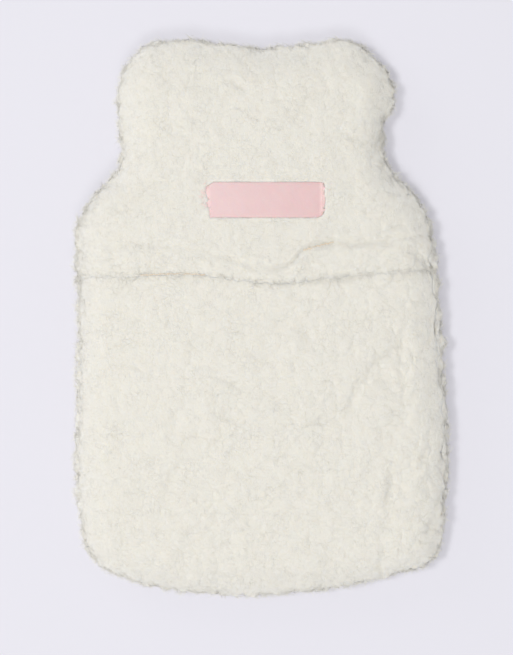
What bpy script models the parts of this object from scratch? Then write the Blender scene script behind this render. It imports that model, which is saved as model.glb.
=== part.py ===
"""Hot water bottle cover in curly fleece, lying on its plain side with its opening upwards.

Four sewn pieces: a plain panel underneath, a lower panel, an upper panel whose hemmed edge
laps over the lower one to close the mouth, and a ribbon sewn across the upper panel.
The cover is hollow and keeps the shape that it has round its bottle.
X runs across the cover, +Y towards its head and +Z up. Sizes are in millimetres and the
meshes in metres. The origin is the centre of the base, on the surface that it lies on.
"""

from collections import namedtuple

import bpy
import numpy as np

MM = 0.001

# ---- the cloth ----
FLEECE = 7.0  # backing and pile together
SEAM_GAP = 0.9  # between the edges of two panels at the seam
LAP = 36.0  # how far the lower panel runs on beneath the upper one
LAP_GAP = 2.0  # air between the two at the mouth
LAP_DIP_LENGTH = 10.0  # in which the lower panel dips to pass under the hem

# ---- the rounded side of the cover, in a section across its edge ----
SIDE_HEIGHT = 16.0  # of the widest place above the surface
TOP_ROLL = 23.0  # width of the rounding above it
BASE_ROLL = 15.0  # width of the rounding below it

SEAM_DROP = 2.2  # how far the pile falls away to the seam
HALF_WIDTH = 114.0

# ---- the outline, seen from above ----
Station = namedtuple("Station", "place left_x left_y right_x right_y")
SIDES = (
    Station("foot corner", -100.0, -150.5, 105.0, -149.0),
    Station("foot turn", -108.5, -136.5, 111.0, -136.0),
    Station("low side", -112.0, -117.0, 112.8, -118.0),
    Station("lower body", -114.0, -82.0, 115.2, -79.0),
    Station("middle", -113.4, -48.0, 113.8, -50.0),
    Station("upper body", -112.3, -6.0, 110.8, -5.0),
    Station("hem", -113.2, 33.0, 108.2, 32.0),
    Station("shoulder", -112.0, 56.0, 103.8, 58.0),
    Station("shoulder slope", -103.0, 74.0, 93.6, 75.0),
    Station("neck foot", -89.5, 87.0, 81.8, 87.0),
    Station("neck", -86.3, 99.0, 76.4, 99.5),
    Station("neck top", -87.5, 115.0, 77.4, 114.0),
    Station("cheek", -88.5, 131.0, 81.6, 131.5),
    Station("head side", -85.0, 149.0, 79.0, 147.5),
    Station("head corner", -74.5, 163.3, 67.5, 160.5),
)

# The foot and head edges between those corners.
End = namedtuple("End", "share foot_y head_y")
ENDS = (
    End(0.08, -160.2, 168.0),
    End(0.20, -166.2, 169.8),
    End(0.36, -169.4, 167.2),
    End(0.54, -169.6, 164.4),
    End(0.70, -166.2, 166.2),
    End(0.85, -159.8, 169.8),
    End(0.94, -155.2, 167.4),
)

# ---- how high the top stands along the cover: beside its edges, and at its middle ----
Height = namedtuple("Height", "place y side middle")
HEIGHTS = (
    Height("foot", -165.0, 31.0, 32.0),
    Height("lower body", -110.0, 35.0, 38.5),
    Height("middle", -40.0, 36.0, 41.0),
    Height("hem", 30.0, 35.5, 40.0),
    Height("shoulder", 72.0, 34.5, 38.5),
    Height("neck", 100.0, 33.0, 37.0),
    Height("head", 138.0, 32.5, 36.5),
    Height("head end", 165.0, 30.0, 31.0),
)

# How many degrees above the widest place the seam runs round the side. It has crept up on
# the right of the body and down on the left, as the cover sits a little twisted.
Seam = namedtuple("Seam", "place y left right")
SEAMS = (
    Seam("foot", -165.0, -10.0, -5.0),
    Seam("low side", -125.0, -20.0, 12.0),
    Seam("lower body", -95.0, -24.0, 34.0),
    Seam("middle", -40.0, -24.0, 38.0),
    Seam("upper body", 10.0, -24.0, 38.0),
    Seam("hem", 35.0, -22.0, 36.0),
    Seam("shoulder", 58.0, -20.0, 26.0),
    Seam("shoulder slope", 80.0, -15.0, 5.0),
    Seam("neck", 100.0, -10.0, -8.0),
    Seam("head", 140.0, -5.0, -5.0),
)

CROWN_ACROSS = 2.4  # powers of the crown's fall towards the sides
CROWN_ALONG = 8.0  # and towards the foot and head
SOFTENING = 12.0  # reach within which the corners between a table's rows are rounded

# ---- the upper panel's hem: its edge line, and the section of its folded band ----
Hem = namedtuple("Hem", "x y")
HEM_LINE = (
    Hem(-112.0, 25.0),
    Hem(-72.0, 25.8),
    Hem(-35.0, 26.0),
    Hem(-13.0, 22.6),
    Hem(6.0, 20.6),
    Hem(23.0, 22.2),
    Hem(40.0, 24.6),
    Hem(78.0, 27.4),
    Hem(108.0, 29.0),
)
Band = namedtuple("Band", "place from_edge rise under")
HEM_BAND = (
    Band("edge", 0.0, -2.8, -6.4),
    Band("turn", 1.6, 0.2, -6.4),
    Band("shoulder", 4.6, 3.0, -6.4),
    Band("crest", 9.5, 3.7, -6.4),
    Band("crest end", 14.0, 2.6, -6.6),
    Band("stitch line", 17.5, -0.6, -7.0),
    Band("past the stitches", 21.5, 0.9, -7.2),
    Band("cloth", 28.0, 0.2, -7.0),
)
HEM_SIDES = 0.1  # what is left of the rise where the band runs into the side seams
HEM_FADE = 0.07  # share of the width in which it gets there

# ---- soft troughs and dents that show in the fleece ----
Dent = namedtuple("Dent", "place x y length width turn depth")
DENTS = (
    Dent("slanting crease", 52.0, -56.0, 52.0, 9.0, 38.0, 2.4),
    Dent("crease beside the seam", 79.0, -96.0, 46.0, 8.0, 80.0, 2.2),
    Dent("upper middle dent", -17.0, -42.0, 16.0, 9.0, -25.0, 2.4),
    Dent("lower middle dent", -21.0, -61.0, 15.0, 9.0, -20.0, 2.4),
    Dent("round dent", 27.0, -12.0, 16.0, 10.0, 100.0, 1.8),
    Dent("left crease", -55.0, -76.0, 34.0, 8.0, 65.0, 1.8),
    Dent("fold in the shoulder", 92.0, 36.0, 26.0, 9.0, -50.0, 2.6),
    Dent("head dent", 30.0, 128.0, 40.0, 11.0, 20.0, 1.5),
    Dent("left head dent", -40.0, 141.0, 34.0, 11.0, -35.0, 1.5),
)

# ---- lumps of the curly pile, as crossed waves of these lengths ----
Wave = namedtuple("Wave", "length direction phase height")
LUMPS = (
    Wave(31.0, 20.0, 0.3, 0.42),
    Wave(27.0, 103.0, 1.9, 0.42),
    Wave(23.0, 61.0, 4.1, 0.36),
    Wave(21.0, 148.0, 2.6, 0.36),
)

# ---- the ribbon ----
RIBBON_LENGTH = 74.0
RIBBON_WIDTH = 21.4
RIBBON_THICK = 1.0
RIBBON_X = 1.8
RIBBON_Y = 70.2
RIBBON_CLEAR = 0.8  # above its bed in the pile
RIBBON_BOW = 1.1  # how far its loose middle stands up
RIBBON_TUCK = 0.4  # how far its sewn ends are drawn in
BED_DEPTH = 3.0
BED_SPARE = 3.5
BED_MARGIN = 7.0

# ---- mesh spacing ----
COLUMNS = 32
UPPER_ROWS = 17
LOWER_ROWS = 28
DIP_ROWS = 4
LAP_ROWS = 4
EDGE_CROWDING = 0.28  # how much closer the columns stand at the sides

Finish = namedtuple("Finish", "colour roughness")
FINISHES = {
    "fleece": Finish((0.85, 0.83, 0.75, 1.0), 0.95),
    "ribbon": Finish((0.86, 0.60, 0.61, 1.0), 0.45),
}


# ---------------------------------------------------------------- lines and outline


def smooth_step(t):
    """0 below 0, 1 above 1 and an even S between."""
    t = np.clip(t, 0.0, 1.0)
    return t * t * (3.0 - 2.0 * t)


def closed_curve(points, per_span):
    """A Catmull-Rom curve round a closed loop of points, with per_span samples a span."""
    before, here = np.roll(points, 1, axis=0), points
    after, later = np.roll(points, -1, axis=0), np.roll(points, -2, axis=0)
    t = (np.arange(per_span) / per_span)[None, :, None]
    a, b, c, d = (p[:, None, :] for p in (before, here, after, later))
    curve = 0.5 * (
        2 * b
        + (c - a) * t
        + (2 * a - 5 * b + 4 * c - d) * t**2
        + (3 * b - a - 3 * c + d) * t**3
    )
    return curve.reshape(-1, 2)


def outline_points():
    """The outline's stations, anticlockwise from the foot's left corner, and where the
    four corners stand among them."""
    left = np.array([(s.left_x, s.left_y) for s in SIDES])
    right = np.array([(s.right_x, s.right_y) for s in SIDES])
    share = np.array([e.share for e in ENDS])
    foot_x = left[0, 0] + (right[0, 0] - left[0, 0]) * share
    head_x = left[-1, 0] + (right[-1, 0] - left[-1, 0]) * share
    foot = np.stack([foot_x, [e.foot_y for e in ENDS]], axis=1)
    head = np.stack([head_x, [e.head_y for e in ENDS]], axis=1)
    points = np.concatenate([left[:1], foot, right, head[::-1], left[:0:-1]])
    foot_right = 1 + len(foot)
    head_right = foot_right + len(right) - 1
    head_left = head_right + len(head) + 1
    return points, (0, foot_right, head_right, head_left)


SAMPLES = 12  # on the outline between two stations
STATIONS, CORNERS = outline_points()
OUTLINE = closed_curve(STATIONS, SAMPLES)
OUTLINE -= 0.5 * (OUTLINE.min(axis=0) + OUTLINE.max(axis=0))
ALONG = np.roll(OUTLINE, -1, axis=0) - np.roll(OUTLINE, 1, axis=0)
INWARDS = np.stack([-ALONG[:, 1], ALONG[:, 0]], axis=1)
INWARDS /= np.linalg.norm(INWARDS, axis=1)[:, None]


def edge_between(first, last):
    """The outline from one corner to the next, as a function of the share of its length."""
    count = (last - first) % len(STATIONS) * SAMPLES
    line = np.roll(OUTLINE, -first * SAMPLES, axis=0)[: count + 1]
    steps = np.linalg.norm(np.diff(line, axis=0), axis=1)
    share = np.concatenate([[0.0], np.cumsum(steps)]) / steps.sum()

    def at(t):
        return np.stack([np.interp(t, share, line[:, k]) for k in (0, 1)], axis=-1)

    return at


FOOT = edge_between(CORNERS[0], CORNERS[1])
RIGHT = edge_between(CORNERS[1], CORNERS[2])
HEAD = edge_between(CORNERS[2], CORNERS[3])
LEFT = edge_between(CORNERS[3], CORNERS[0])


def plan(u, v):
    """The place seen from above at share u across and v along, between the four edges."""
    u, v = np.broadcast_arrays(u, v)
    a, b = u[..., None], v[..., None]
    low, high = FOOT(u), HEAD(1.0 - u)
    left, right = LEFT(1.0 - v), RIGHT(v)
    corners = (1 - b) * ((1 - a) * FOOT(0.0) + a * FOOT(1.0)) + b * (
        (1 - a) * HEAD(1.0) + a * HEAD(0.0)
    )
    return (1 - b) * low + b * high + (1 - a) * left + a * right - corners


def share_at(u, y):
    """The share v along the cover at which column u reaches the height y of the plan."""
    fine = np.linspace(0.0, 1.0, 401)
    reached = plan(u[:, None], fine[None, :])[..., 1]
    return np.array([np.interp(yy, row, fine) for yy, row in zip(y, reached)])


def nearest_edge(place):
    """The nearest place on the outline, its inward direction and how far it is."""
    flat = place.reshape(-1, 2)
    gaps = ((flat[:, None, :] - OUTLINE[None, :, :]) ** 2).sum(axis=2)
    near = gaps.argmin(axis=1)
    inward = INWARDS[near]
    along = np.stack([inward[:, 1], -inward[:, 0]], axis=1)
    slide = ((flat - OUTLINE[near]) * along).sum(axis=1)
    foot = OUTLINE[near] + along * slide[:, None]
    away = ((flat - foot) * inward).sum(axis=1)
    shape = place.shape
    return foot.reshape(shape), inward.reshape(shape), away.reshape(shape[:-1])


# ---------------------------------------------------------------- the cover's skin


def smoothed(at, values, where):
    """Values given at some places, read elsewhere with the corners between rounded."""
    around = where[..., None] + np.linspace(-SOFTENING, SOFTENING, 9)
    return np.interp(around, at, values).mean(axis=-1)


def read_along(table, column, y):
    """A column of a table at this place along the cover."""
    return smoothed([row.y for row in table], [getattr(row, column) for row in table], y)


def seam_angle(foot):
    """How far above the widest place the seam runs at these places on the outline, in
    radians: the right side's angle, the left side's, and evenly between them."""
    left, right = (read_along(SEAMS, side, foot[..., 1]) for side in ("left", "right"))
    share = np.clip(0.5 + 0.5 * foot[..., 0] / HALF_WIDTH, 0.0, 1.0)
    return np.radians(left + (right - left) * share)


def skin(u, v, upper):
    """The cover's smooth outer face over share u across and v along, above the seam or
    below it, and the way it faces. Its side is a quarter ellipse down to the widest
    place, and another down to the surface; the plan's distance from the edge is turned
    into the angle round them."""
    place = plan(u, v)
    foot, inward, away = nearest_edge(place)
    side = read_along(HEIGHTS, "side", foot[..., 1]) - SIDE_HEIGHT
    seam = seam_angle(foot)
    half_gap = 0.5 * SEAM_GAP / np.where(seam > 0, TOP_ROLL, BASE_ROLL)
    roll, end, way = (TOP_ROLL, 0.5 * np.pi, 1.0) if upper else (BASE_ROLL, -0.5 * np.pi, -1.0)
    rolled = away < roll
    share = np.clip(away / roll, 0.0, 1.0)
    turned = seam + (end - seam) * share
    angle = turned + way * half_gap * (1.0 - share)
    inset = np.where(angle > 0, TOP_ROLL, BASE_ROLL) * (1.0 - np.cos(angle))
    rise = SIDE_HEIGHT + np.where(angle > 0, side, SIDE_HEIGHT) * np.sin(angle)
    flat = np.where(rolled[..., None], foot + inward * inset[..., None], place)
    if upper:
        u, v = np.broadcast_arrays(u, v)
        middle = read_along(HEIGHTS, "middle", flat[..., 1])
        beside = read_along(HEIGHTS, "side", flat[..., 1])
        across = 1.0 - np.abs(2.0 * u - 1.0) ** CROWN_ACROSS
        lengthways = 1.0 - np.abs(2.0 * v - 1.0) ** CROWN_ALONG
        inside = beside + (middle - beside) * across * lengthways
        blend = smooth_step(away / roll)
        rise = np.where(rolled, rise + (inside - side - SIDE_HEIGHT) * blend, inside)
    out = np.where(turned > 0, side, SIDE_HEIGHT) * np.cos(turned)
    up = np.where(turned > 0, TOP_ROLL, BASE_ROLL) * np.sin(turned)
    long = np.hypot(out, up)
    facing = np.concatenate(
        [-inward * (out / long)[..., None], (up / long)[..., None]], axis=-1
    )
    straight = np.array([0.0, 0.0, 1.0 if upper else -1.0])
    facing = np.where(rolled[..., None], facing, straight)
    return np.concatenate([flat, rise[..., None]], axis=-1), facing


def relief(points):
    """The lumps and dents of the fleece at these places, outwards from the smooth skin."""
    x, y = points[..., 0], points[..., 1]
    total = np.zeros(x.shape)
    for wave in LUMPS:
        way = np.radians(wave.direction)
        reach = x * np.cos(way) + y * np.sin(way)
        sway = 0.9 * np.sin((y * np.cos(way) - x * np.sin(way)) / wave.length)
        total += wave.height * np.sin(2 * np.pi * reach / wave.length + wave.phase + sway)
    for dent in DENTS:
        way = np.radians(dent.turn)
        dx, dy = x - dent.x, y - dent.y
        far = (dx * np.cos(way) + dy * np.sin(way)) / (0.5 * dent.length)
        near = (dy * np.cos(way) - dx * np.sin(way)) / (0.5 * dent.width)
        total -= dent.depth * np.exp(-(far**2) - near**2)
    return total


def bed(points):
    """1 beneath the ribbon and just round it, falling to 0 further out."""
    x = np.abs(points[..., 0] - RIBBON_X) - 0.5 * RIBBON_LENGTH - BED_SPARE
    y = np.abs(points[..., 1] - RIBBON_Y) - 0.5 * RIBBON_WIDTH - BED_SPARE
    return smooth_step(1.0 - x / BED_MARGIN) * smooth_step(1.0 - y / BED_MARGIN)


# ---------------------------------------------------------------- meshes


def material(name):
    finish = bpy.data.materials.new(name)
    finish.use_nodes = True
    shader = finish.node_tree.nodes["Principled BSDF"]
    shader.inputs["Base Color"].default_value = FINISHES[name].colour
    shader.inputs["Roughness"].default_value = FINISHES[name].roughness
    shader.inputs["Metallic"].default_value = 0.0
    return finish


def grid_faces(rows, columns, first, turned):
    """Quads over a grid of points numbered row by row from first."""
    quads = []
    for r in range(rows):
        for c in range(columns):
            a = first + r * (columns + 1) + c
            quad = (a, a + 1, a + columns + 2, a + columns + 1)
            quads.append(quad[::-1] if turned else quad)
    return quads


def ring(rows, columns):
    """The numbers of a grid's edge points, once round, anticlockwise from the first."""
    wide = columns + 1
    low = [c for c in range(columns)]
    right = [r * wide + columns for r in range(rows)]
    high = [rows * wide + c for c in range(columns, 0, -1)]
    left = [r * wide for r in range(rows, 0, -1)]
    return low + right + high + left


def cloth_shell(name, outer, inner, upward, finish):
    """A closed piece of cloth between an outer grid of points and an inner grid with half
    as many rows and columns, joined round their edges."""
    rows, columns = outer.shape[0] - 1, outer.shape[1] - 1
    points = np.concatenate([outer.reshape(-1, 3), inner.reshape(-1, 3)]) * MM
    inner_first = outer.shape[0] * outer.shape[1]
    faces = grid_faces(rows, columns, 0, not upward)
    faces += grid_faces(rows // 2, columns // 2, inner_first, upward)
    rim = ring(rows, columns)
    lining = [inner_first + n for n in ring(rows // 2, columns // 2)]
    for k in range(len(lining)):
        a, b, c = rim[2 * k], rim[2 * k + 1], rim[(2 * k + 2) % len(rim)]
        d, e = lining[k], lining[(k + 1) % len(lining)]
        for face in ((b, a, d), (c, b, d, e)):
            faces.append(face if upward else face[::-1])
    mesh = bpy.data.meshes.new(name)
    mesh.from_pydata(points.tolist(), [], faces)
    mesh.validate()
    mesh.shade_smooth()
    mesh.set_sharp_from_angle(angle=np.radians(50.0))
    mesh.materials.append(finish)
    piece = bpy.data.objects.new(name, mesh)
    bpy.context.scene.collection.objects.link(piece)
    return piece


def columns_across():
    """Shares across the cover, a little closer together towards its sides."""
    even = np.linspace(0.0, 1.0, COLUMNS + 1)
    return even - EDGE_CROWDING * np.sin(2 * np.pi * even) / (2 * np.pi)


def from_seam(rows, foot=True, head=True):
    """How many rows or columns each point of a grid lies in from the edges that are sewn
    into the seam: its two sides, and its foot or head end."""
    r, c = np.meshgrid(np.arange(rows + 1), np.arange(COLUMNS + 1), indexing="ij")
    near = np.minimum(c, COLUMNS - c)
    near = np.minimum(near, r) if foot else near
    return np.minimum(near, rows - r) if head else near


def pile(points, seam_steps):
    """How far the pile stands off the smooth skin: its lumps and dents, none of them at
    the seam, where it falls away instead."""
    lumps = relief(points) * np.clip(seam_steps / 2.0, 0.0, 1.0)
    return lumps - SEAM_DROP * np.clip(1.0 - seam_steps, 0.0, 1.0)


def halved(grid):
    """Every second row and column."""
    return grid[::2, ::2]


def hem_height(x):
    """Where the hem's edge runs in the plan."""
    return smoothed([h.x for h in HEM_LINE], [h.y for h in HEM_LINE], x)


def row_shares(u, distances):
    """Shares along the cover at these distances above the hem's edge, one row each, for
    every column."""
    guess = share_at(u, np.full(u.shape, 25.0))
    edge_y = hem_height(plan(u, guess)[..., 0])
    return np.array([share_at(u, edge_y + d) for d in distances])


def lower_rows(u):
    """The lower panel's rows from the foot, past the hem's edge to its own, and how far
    above the hem's edge each row past the dip's start runs."""
    dip = np.linspace(-LAP_DIP_LENGTH, 0.0, DIP_ROWS + 1)
    lap = np.linspace(0.0, LAP, LAP_ROWS + 1)[1:]
    distances = np.concatenate([dip, lap])
    mouth = row_shares(u, distances)
    rest = np.linspace(0.0, 1.0, LOWER_ROWS + 1)[:-1, None]
    crowded = rest - EDGE_CROWDING * np.sin(np.pi * rest) / np.pi
    return np.concatenate([mouth[0] * crowded, mouth]), distances


def upper_rows(u):
    """The upper panel's rows, from the hem's edge to the head."""
    band = row_shares(u, [b.from_edge for b in HEM_BAND])
    rest = np.linspace(0.0, 1.0, UPPER_ROWS + 1)[1:, None]
    crowded = rest + EDGE_CROWDING * np.sin(np.pi * rest) / np.pi
    return np.concatenate([band, band[-1] + (1.0 - band[-1]) * crowded])


def base_panel(finish):
    """The plain panel underneath, pressed flat where it lies and turned up round the
    sides to the seam. Its rows meet those of the other two at the sides."""
    u = columns_across()
    below = lower_rows(u)[0][: LOWER_ROWS + DIP_ROWS]
    beside = np.concatenate([below, upper_rows(u)])
    v = beside[:, :1] * (1.0 - u) + beside[:, -1:] * u
    points, facing = skin(u[None, :], v, upper=False)
    lift = pile(points, from_seam(len(v) - 1))
    lift *= smooth_step((points[..., 2] - 1.0) / 8.0)
    outer = points + facing * lift[..., None]
    inner = halved(points - facing * FLEECE)
    return cloth_shell("base_panel", outer, inner, False, finish)


def upper_panel(finish):
    """The head and shoulders, down to the hemmed edge that laps over the mouth."""
    u = columns_across()
    v = upper_rows(u)
    rows = len(v) - 1
    points, facing = skin(u[None, :], v, upper=True)
    rise = np.zeros((rows + 1, 1))
    rise[: len(HEM_BAND), 0] = [b.rise for b in HEM_BAND]
    under = np.full((rows + 1, 1, 1), -FLEECE)
    under[: len(HEM_BAND), 0, 0] = [b.under for b in HEM_BAND]
    from_side = np.minimum(u, 1.0 - u)
    kept = HEM_SIDES + (1.0 - HEM_SIDES) * smooth_step(from_side / HEM_FADE)
    pressed = bed(points)
    lift = pile(points, from_seam(rows, foot=False)) * (1.0 - pressed)
    lift += rise * kept - BED_DEPTH * pressed
    outer = points + facing * lift[..., None]
    return cloth_shell("upper_panel", outer, halved(points + facing * under), True, finish)


def lower_panel(finish):
    """The body below the mouth. It dips beneath the upper panel's hem and runs on under
    it to its own edge."""
    u = columns_across()
    v, distances = lower_rows(u)
    rows = len(v) - 1
    points, facing = skin(u[None, :], v, upper=True)
    along = np.concatenate([np.full(LOWER_ROWS, -LAP_DIP_LENGTH), distances])
    covered = smooth_step(1.0 + along / LAP_DIP_LENGTH)[:, None]
    sunk = covered * (LAP_GAP - min(b.under for b in HEM_BAND))
    lift = pile(points, from_seam(rows, head=False)) * (1.0 - covered) - sunk
    outer = points + facing * lift[..., None]
    inner = halved(points - facing * (sunk + FLEECE)[..., None])
    return cloth_shell("lower_panel", outer, inner, True, finish)


def ribbon(finish):
    """A strip of satin laid across the upper panel and sewn down at its two ends, with
    its middle standing a little clear of the pile."""
    across = np.linspace(-0.5, 0.5, 17)
    along = np.linspace(-0.5, 0.5, 5)
    sx, sy = np.meshgrid(across, along)
    x = RIBBON_X + RIBBON_LENGTH * sx
    y = RIBBON_Y + RIBBON_WIDTH * sy
    level = read_along(HEIGHTS, "middle", y) - BED_DEPTH + RIBBON_CLEAR
    bow = RIBBON_BOW * (1.0 - (2.0 * sx) ** 4) * (1.0 - 0.5 * (2.0 * sy) ** 2)
    tuck = RIBBON_TUCK * np.abs(2.0 * sx) ** 6
    points = np.stack([x, y, level + bow - tuck], axis=-1).reshape(-1, 3) * MM
    faces = grid_faces(len(along) - 1, len(across) - 1, 0, False)
    mesh = bpy.data.meshes.new("ribbon")
    mesh.from_pydata(points.tolist(), [], faces)
    mesh.shade_smooth()
    mesh.materials.append(finish)
    piece = bpy.data.objects.new("ribbon", mesh)
    bpy.context.scene.collection.objects.link(piece)
    thick = piece.modifiers.new("Thickness", "SOLIDIFY")
    thick.thickness = RIBBON_THICK * MM
    thick.offset = 1.0
    return piece


def clear_scene():
    for piece in list(bpy.data.objects):
        bpy.data.objects.remove(piece)


def main():
    clear_scene()
    fleece = material("fleece")
    base_panel(fleece)
    lower_panel(fleece)
    upper_panel(fleece)
    ribbon(material("ribbon"))


main()
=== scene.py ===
"""Hot water bottle cover in curly ivory fleece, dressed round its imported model.

Laid out as an add-on and run as a script: settings, one operator for each group of pieces
and one for the stage, and a panel that lists them. X runs across the cover, +Y towards its
head and +Z up. The tables and shape functions work in millimetres, the meshes in metres.
"""

from collections import namedtuple

import bpy
import numpy as np
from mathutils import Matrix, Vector


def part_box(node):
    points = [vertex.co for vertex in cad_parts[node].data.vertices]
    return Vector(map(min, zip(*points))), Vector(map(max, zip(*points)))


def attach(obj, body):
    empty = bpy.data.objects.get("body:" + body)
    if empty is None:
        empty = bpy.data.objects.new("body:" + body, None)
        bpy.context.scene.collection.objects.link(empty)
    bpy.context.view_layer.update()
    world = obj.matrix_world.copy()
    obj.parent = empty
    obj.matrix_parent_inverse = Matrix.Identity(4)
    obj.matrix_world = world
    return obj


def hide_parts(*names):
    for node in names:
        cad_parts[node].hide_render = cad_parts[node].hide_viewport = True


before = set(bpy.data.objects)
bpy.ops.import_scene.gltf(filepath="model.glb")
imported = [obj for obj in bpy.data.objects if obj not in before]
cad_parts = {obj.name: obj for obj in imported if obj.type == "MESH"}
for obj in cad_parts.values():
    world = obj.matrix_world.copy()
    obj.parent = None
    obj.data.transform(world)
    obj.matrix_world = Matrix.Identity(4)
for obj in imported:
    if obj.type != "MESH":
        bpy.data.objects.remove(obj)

bl_info = {
    "name": "Fleece hot water bottle cover",
    "version": (1, 0, 0),
    "blender": (4, 5, 0),
    "location": "3D View > Sidebar > Cover",
    "description": "Curly fleece panels, pile, ribbon and stitches of a hot water bottle cover",
    "category": "Object",
}

MM = 0.001

# ---- the cloth and the section of its rounded side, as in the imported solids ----
FLEECE = 7.0
SEAM_GAP = 0.1
SIDE_HEIGHT = 16.0
TOP_ROLL = 23.0
BASE_ROLL = 15.0
PRESSED_TO = 0.3
PILE_FREE_OVER = 6.0
HALF_WIDTH = 114.0
HALF_LENGTH = 169.8
CROWN_ACROSS = 2.4
CROWN_ALONG = 8.0
SOFTENING = 12.0

# ---- the outline, seen from above: its two sides, and its foot and head ----
Station = namedtuple("Station", "place left_x left_y right_x right_y")
SIDES = (
    Station("foot corner", -100.0, -150.5, 105.0, -149.0),
    Station("foot turn", -108.5, -136.5, 111.0, -136.0),
    Station("low side", -112.0, -117.0, 112.8, -118.0),
    Station("lower body", -114.0, -82.0, 115.2, -79.0),
    Station("middle", -113.4, -48.0, 113.8, -50.0),
    Station("upper body", -112.3, -6.0, 110.8, -5.0),
    Station("hem", -113.2, 33.0, 108.2, 32.0),
    Station("shoulder", -112.0, 56.0, 103.8, 58.0),
    Station("shoulder slope", -103.0, 74.0, 93.6, 75.0),
    Station("neck foot", -89.5, 87.0, 81.8, 87.0),
    Station("neck", -86.3, 99.0, 76.4, 99.5),
    Station("neck top", -87.5, 115.0, 77.4, 114.0),
    Station("cheek", -88.5, 131.0, 81.6, 131.5),
    Station("head side", -85.0, 149.0, 79.0, 147.5),
    Station("head corner", -74.5, 163.3, 67.5, 160.5),
)
End = namedtuple("End", "share foot_y head_y")
ENDS = (
    End(0.08, -160.2, 168.0),
    End(0.20, -166.2, 169.8),
    End(0.36, -169.4, 167.2),
    End(0.54, -169.6, 164.4),
    End(0.70, -166.2, 166.2),
    End(0.85, -159.8, 169.8),
    End(0.94, -155.2, 167.4),
)

# ---- how high the top stands along the cover: beside its edges, and at its middle ----
Height = namedtuple("Height", "place y side middle")
HEIGHTS = (
    Height("foot", -165.0, 31.0, 32.0),
    Height("lower body", -110.0, 35.0, 38.5),
    Height("middle", -40.0, 36.0, 41.0),
    Height("hem", 30.0, 35.5, 40.0),
    Height("shoulder", 72.0, 34.5, 38.5),
    Height("neck", 100.0, 33.0, 37.0),
    Height("head", 138.0, 32.5, 36.5),
    Height("head end", 165.0, 30.0, 31.0),
)

# ---- how many degrees above the widest place the seam runs round the side ----
Seam = namedtuple("Seam", "place y left right")
SEAM_WANDER = 7.5
SEAMS = (
    Seam("foot", -165.0, -10.0, -5.0),
    Seam("low side", -125.0, -20.0, 12.0),
    Seam("lower body", -95.0, -24.0, 34.0),
    Seam("middle", -40.0, -24.0, 38.0),
    Seam("upper body", 10.0, -24.0, 38.0),
    Seam("hem", 35.0, -22.0, 36.0),
    Seam("shoulder", 58.0, -20.0, 26.0),
    Seam("shoulder slope", 80.0, -15.0, 5.0),
    Seam("neck", 100.0, -10.0, -8.0),
    Seam("head", 140.0, -5.0, -5.0),
)

# ---- the hem: its edge, the valley below it, the lip at its edge, and its section ----
Hem = namedtuple("Hem", "x y")
HEM_LINE = (
    Hem(-112.0, 25.0),
    Hem(-72.0, 25.8),
    Hem(-35.0, 26.0),
    Hem(-13.0, 22.6),
    Hem(6.0, 20.6),
    Hem(23.0, 22.2),
    Hem(40.0, 24.6),
    Hem(78.0, 27.4),
    Hem(108.0, 29.0),
)
Valley = namedtuple("Valley", "x depth lip")
HEM_VALLEY = (
    Valley(-114.0, 0.8, 0.36),
    Valley(-106.0, 0.1, 0.10),
    Valley(-78.0, 0.1, 0.10),
    Valley(-70.0, 0.7, 0.45),
    Valley(-37.0, 0.8, 0.50),
    Valley(-30.0, 0.4, 0.72),
    Valley(2.0, 0.6, 0.90),
    Valley(26.0, 0.7, 0.81),
    Valley(33.0, 1.9, 0.36),
    Valley(54.0, 1.9, 0.36),
    Valley(58.0, 0.4, 0.24),
    Valley(76.0, 0.1, 0.10),
    Valley(88.0, 0.1, 0.10),
    Valley(108.0, 0.4, 0.36),
)
HEM_VALLEY_REACH = 2.6
Band = namedtuple("Band", "place from_edge rise under")
HEM_BAND = (
    Band("edge", 0.0, 0.0, -5.6),
    Band("shoulder", 3.0, 0.6, -6.2),
    Band("crest", 7.5, 1.2, -6.4),
    Band("crest end", 13.5, 1.0, -6.6),
    Band("past the stitches", 20.0, 0.5, -7.0),
    Band("cloth", 28.0, 0.1, -7.0),
)

# ---- the band's share of its rise at the sides, and over what share it comes up; the
# lap beneath it, how far that is sunk and over what length; the scalloped overhang ----
HEM_SIDES = 0.1
HEM_FADE = 0.16
LAP = 30.0
LAP_SUNK = 7.8
LAP_DIVE = 0.9
HEM_OVERHANG = 2.0
HEM_TOOTH = 3.3

# ---- the row of stitches that holds the hem: how far it runs above the edge, and how
# deep it draws the pile in ----
Sewn = namedtuple("Sewn", "x from_edge depth")
HEM_STITCHES = (
    Sewn(-110.0, 17.0, 0.14),
    Sewn(-60.0, 17.0, 0.28),
    Sewn(-25.0, 12.0, 0.42),
    Sewn(-4.0, 8.0, 1.12),
    Sewn(7.0, 7.4, 1.68),
    Sewn(16.0, 9.2, 2.24),
    Sewn(24.5, 16.6, 2.80),
    Sewn(31.0, 20.0, 3.22),
    Sewn(42.0, 20.0, 2.94),
    Sewn(58.0, 18.2, 2.24),
    Sewn(76.0, 18.4, 1.68),
    Sewn(92.0, 20.0, 0.56),
)
HEM_STITCH_WIDTH = 2.1

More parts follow.
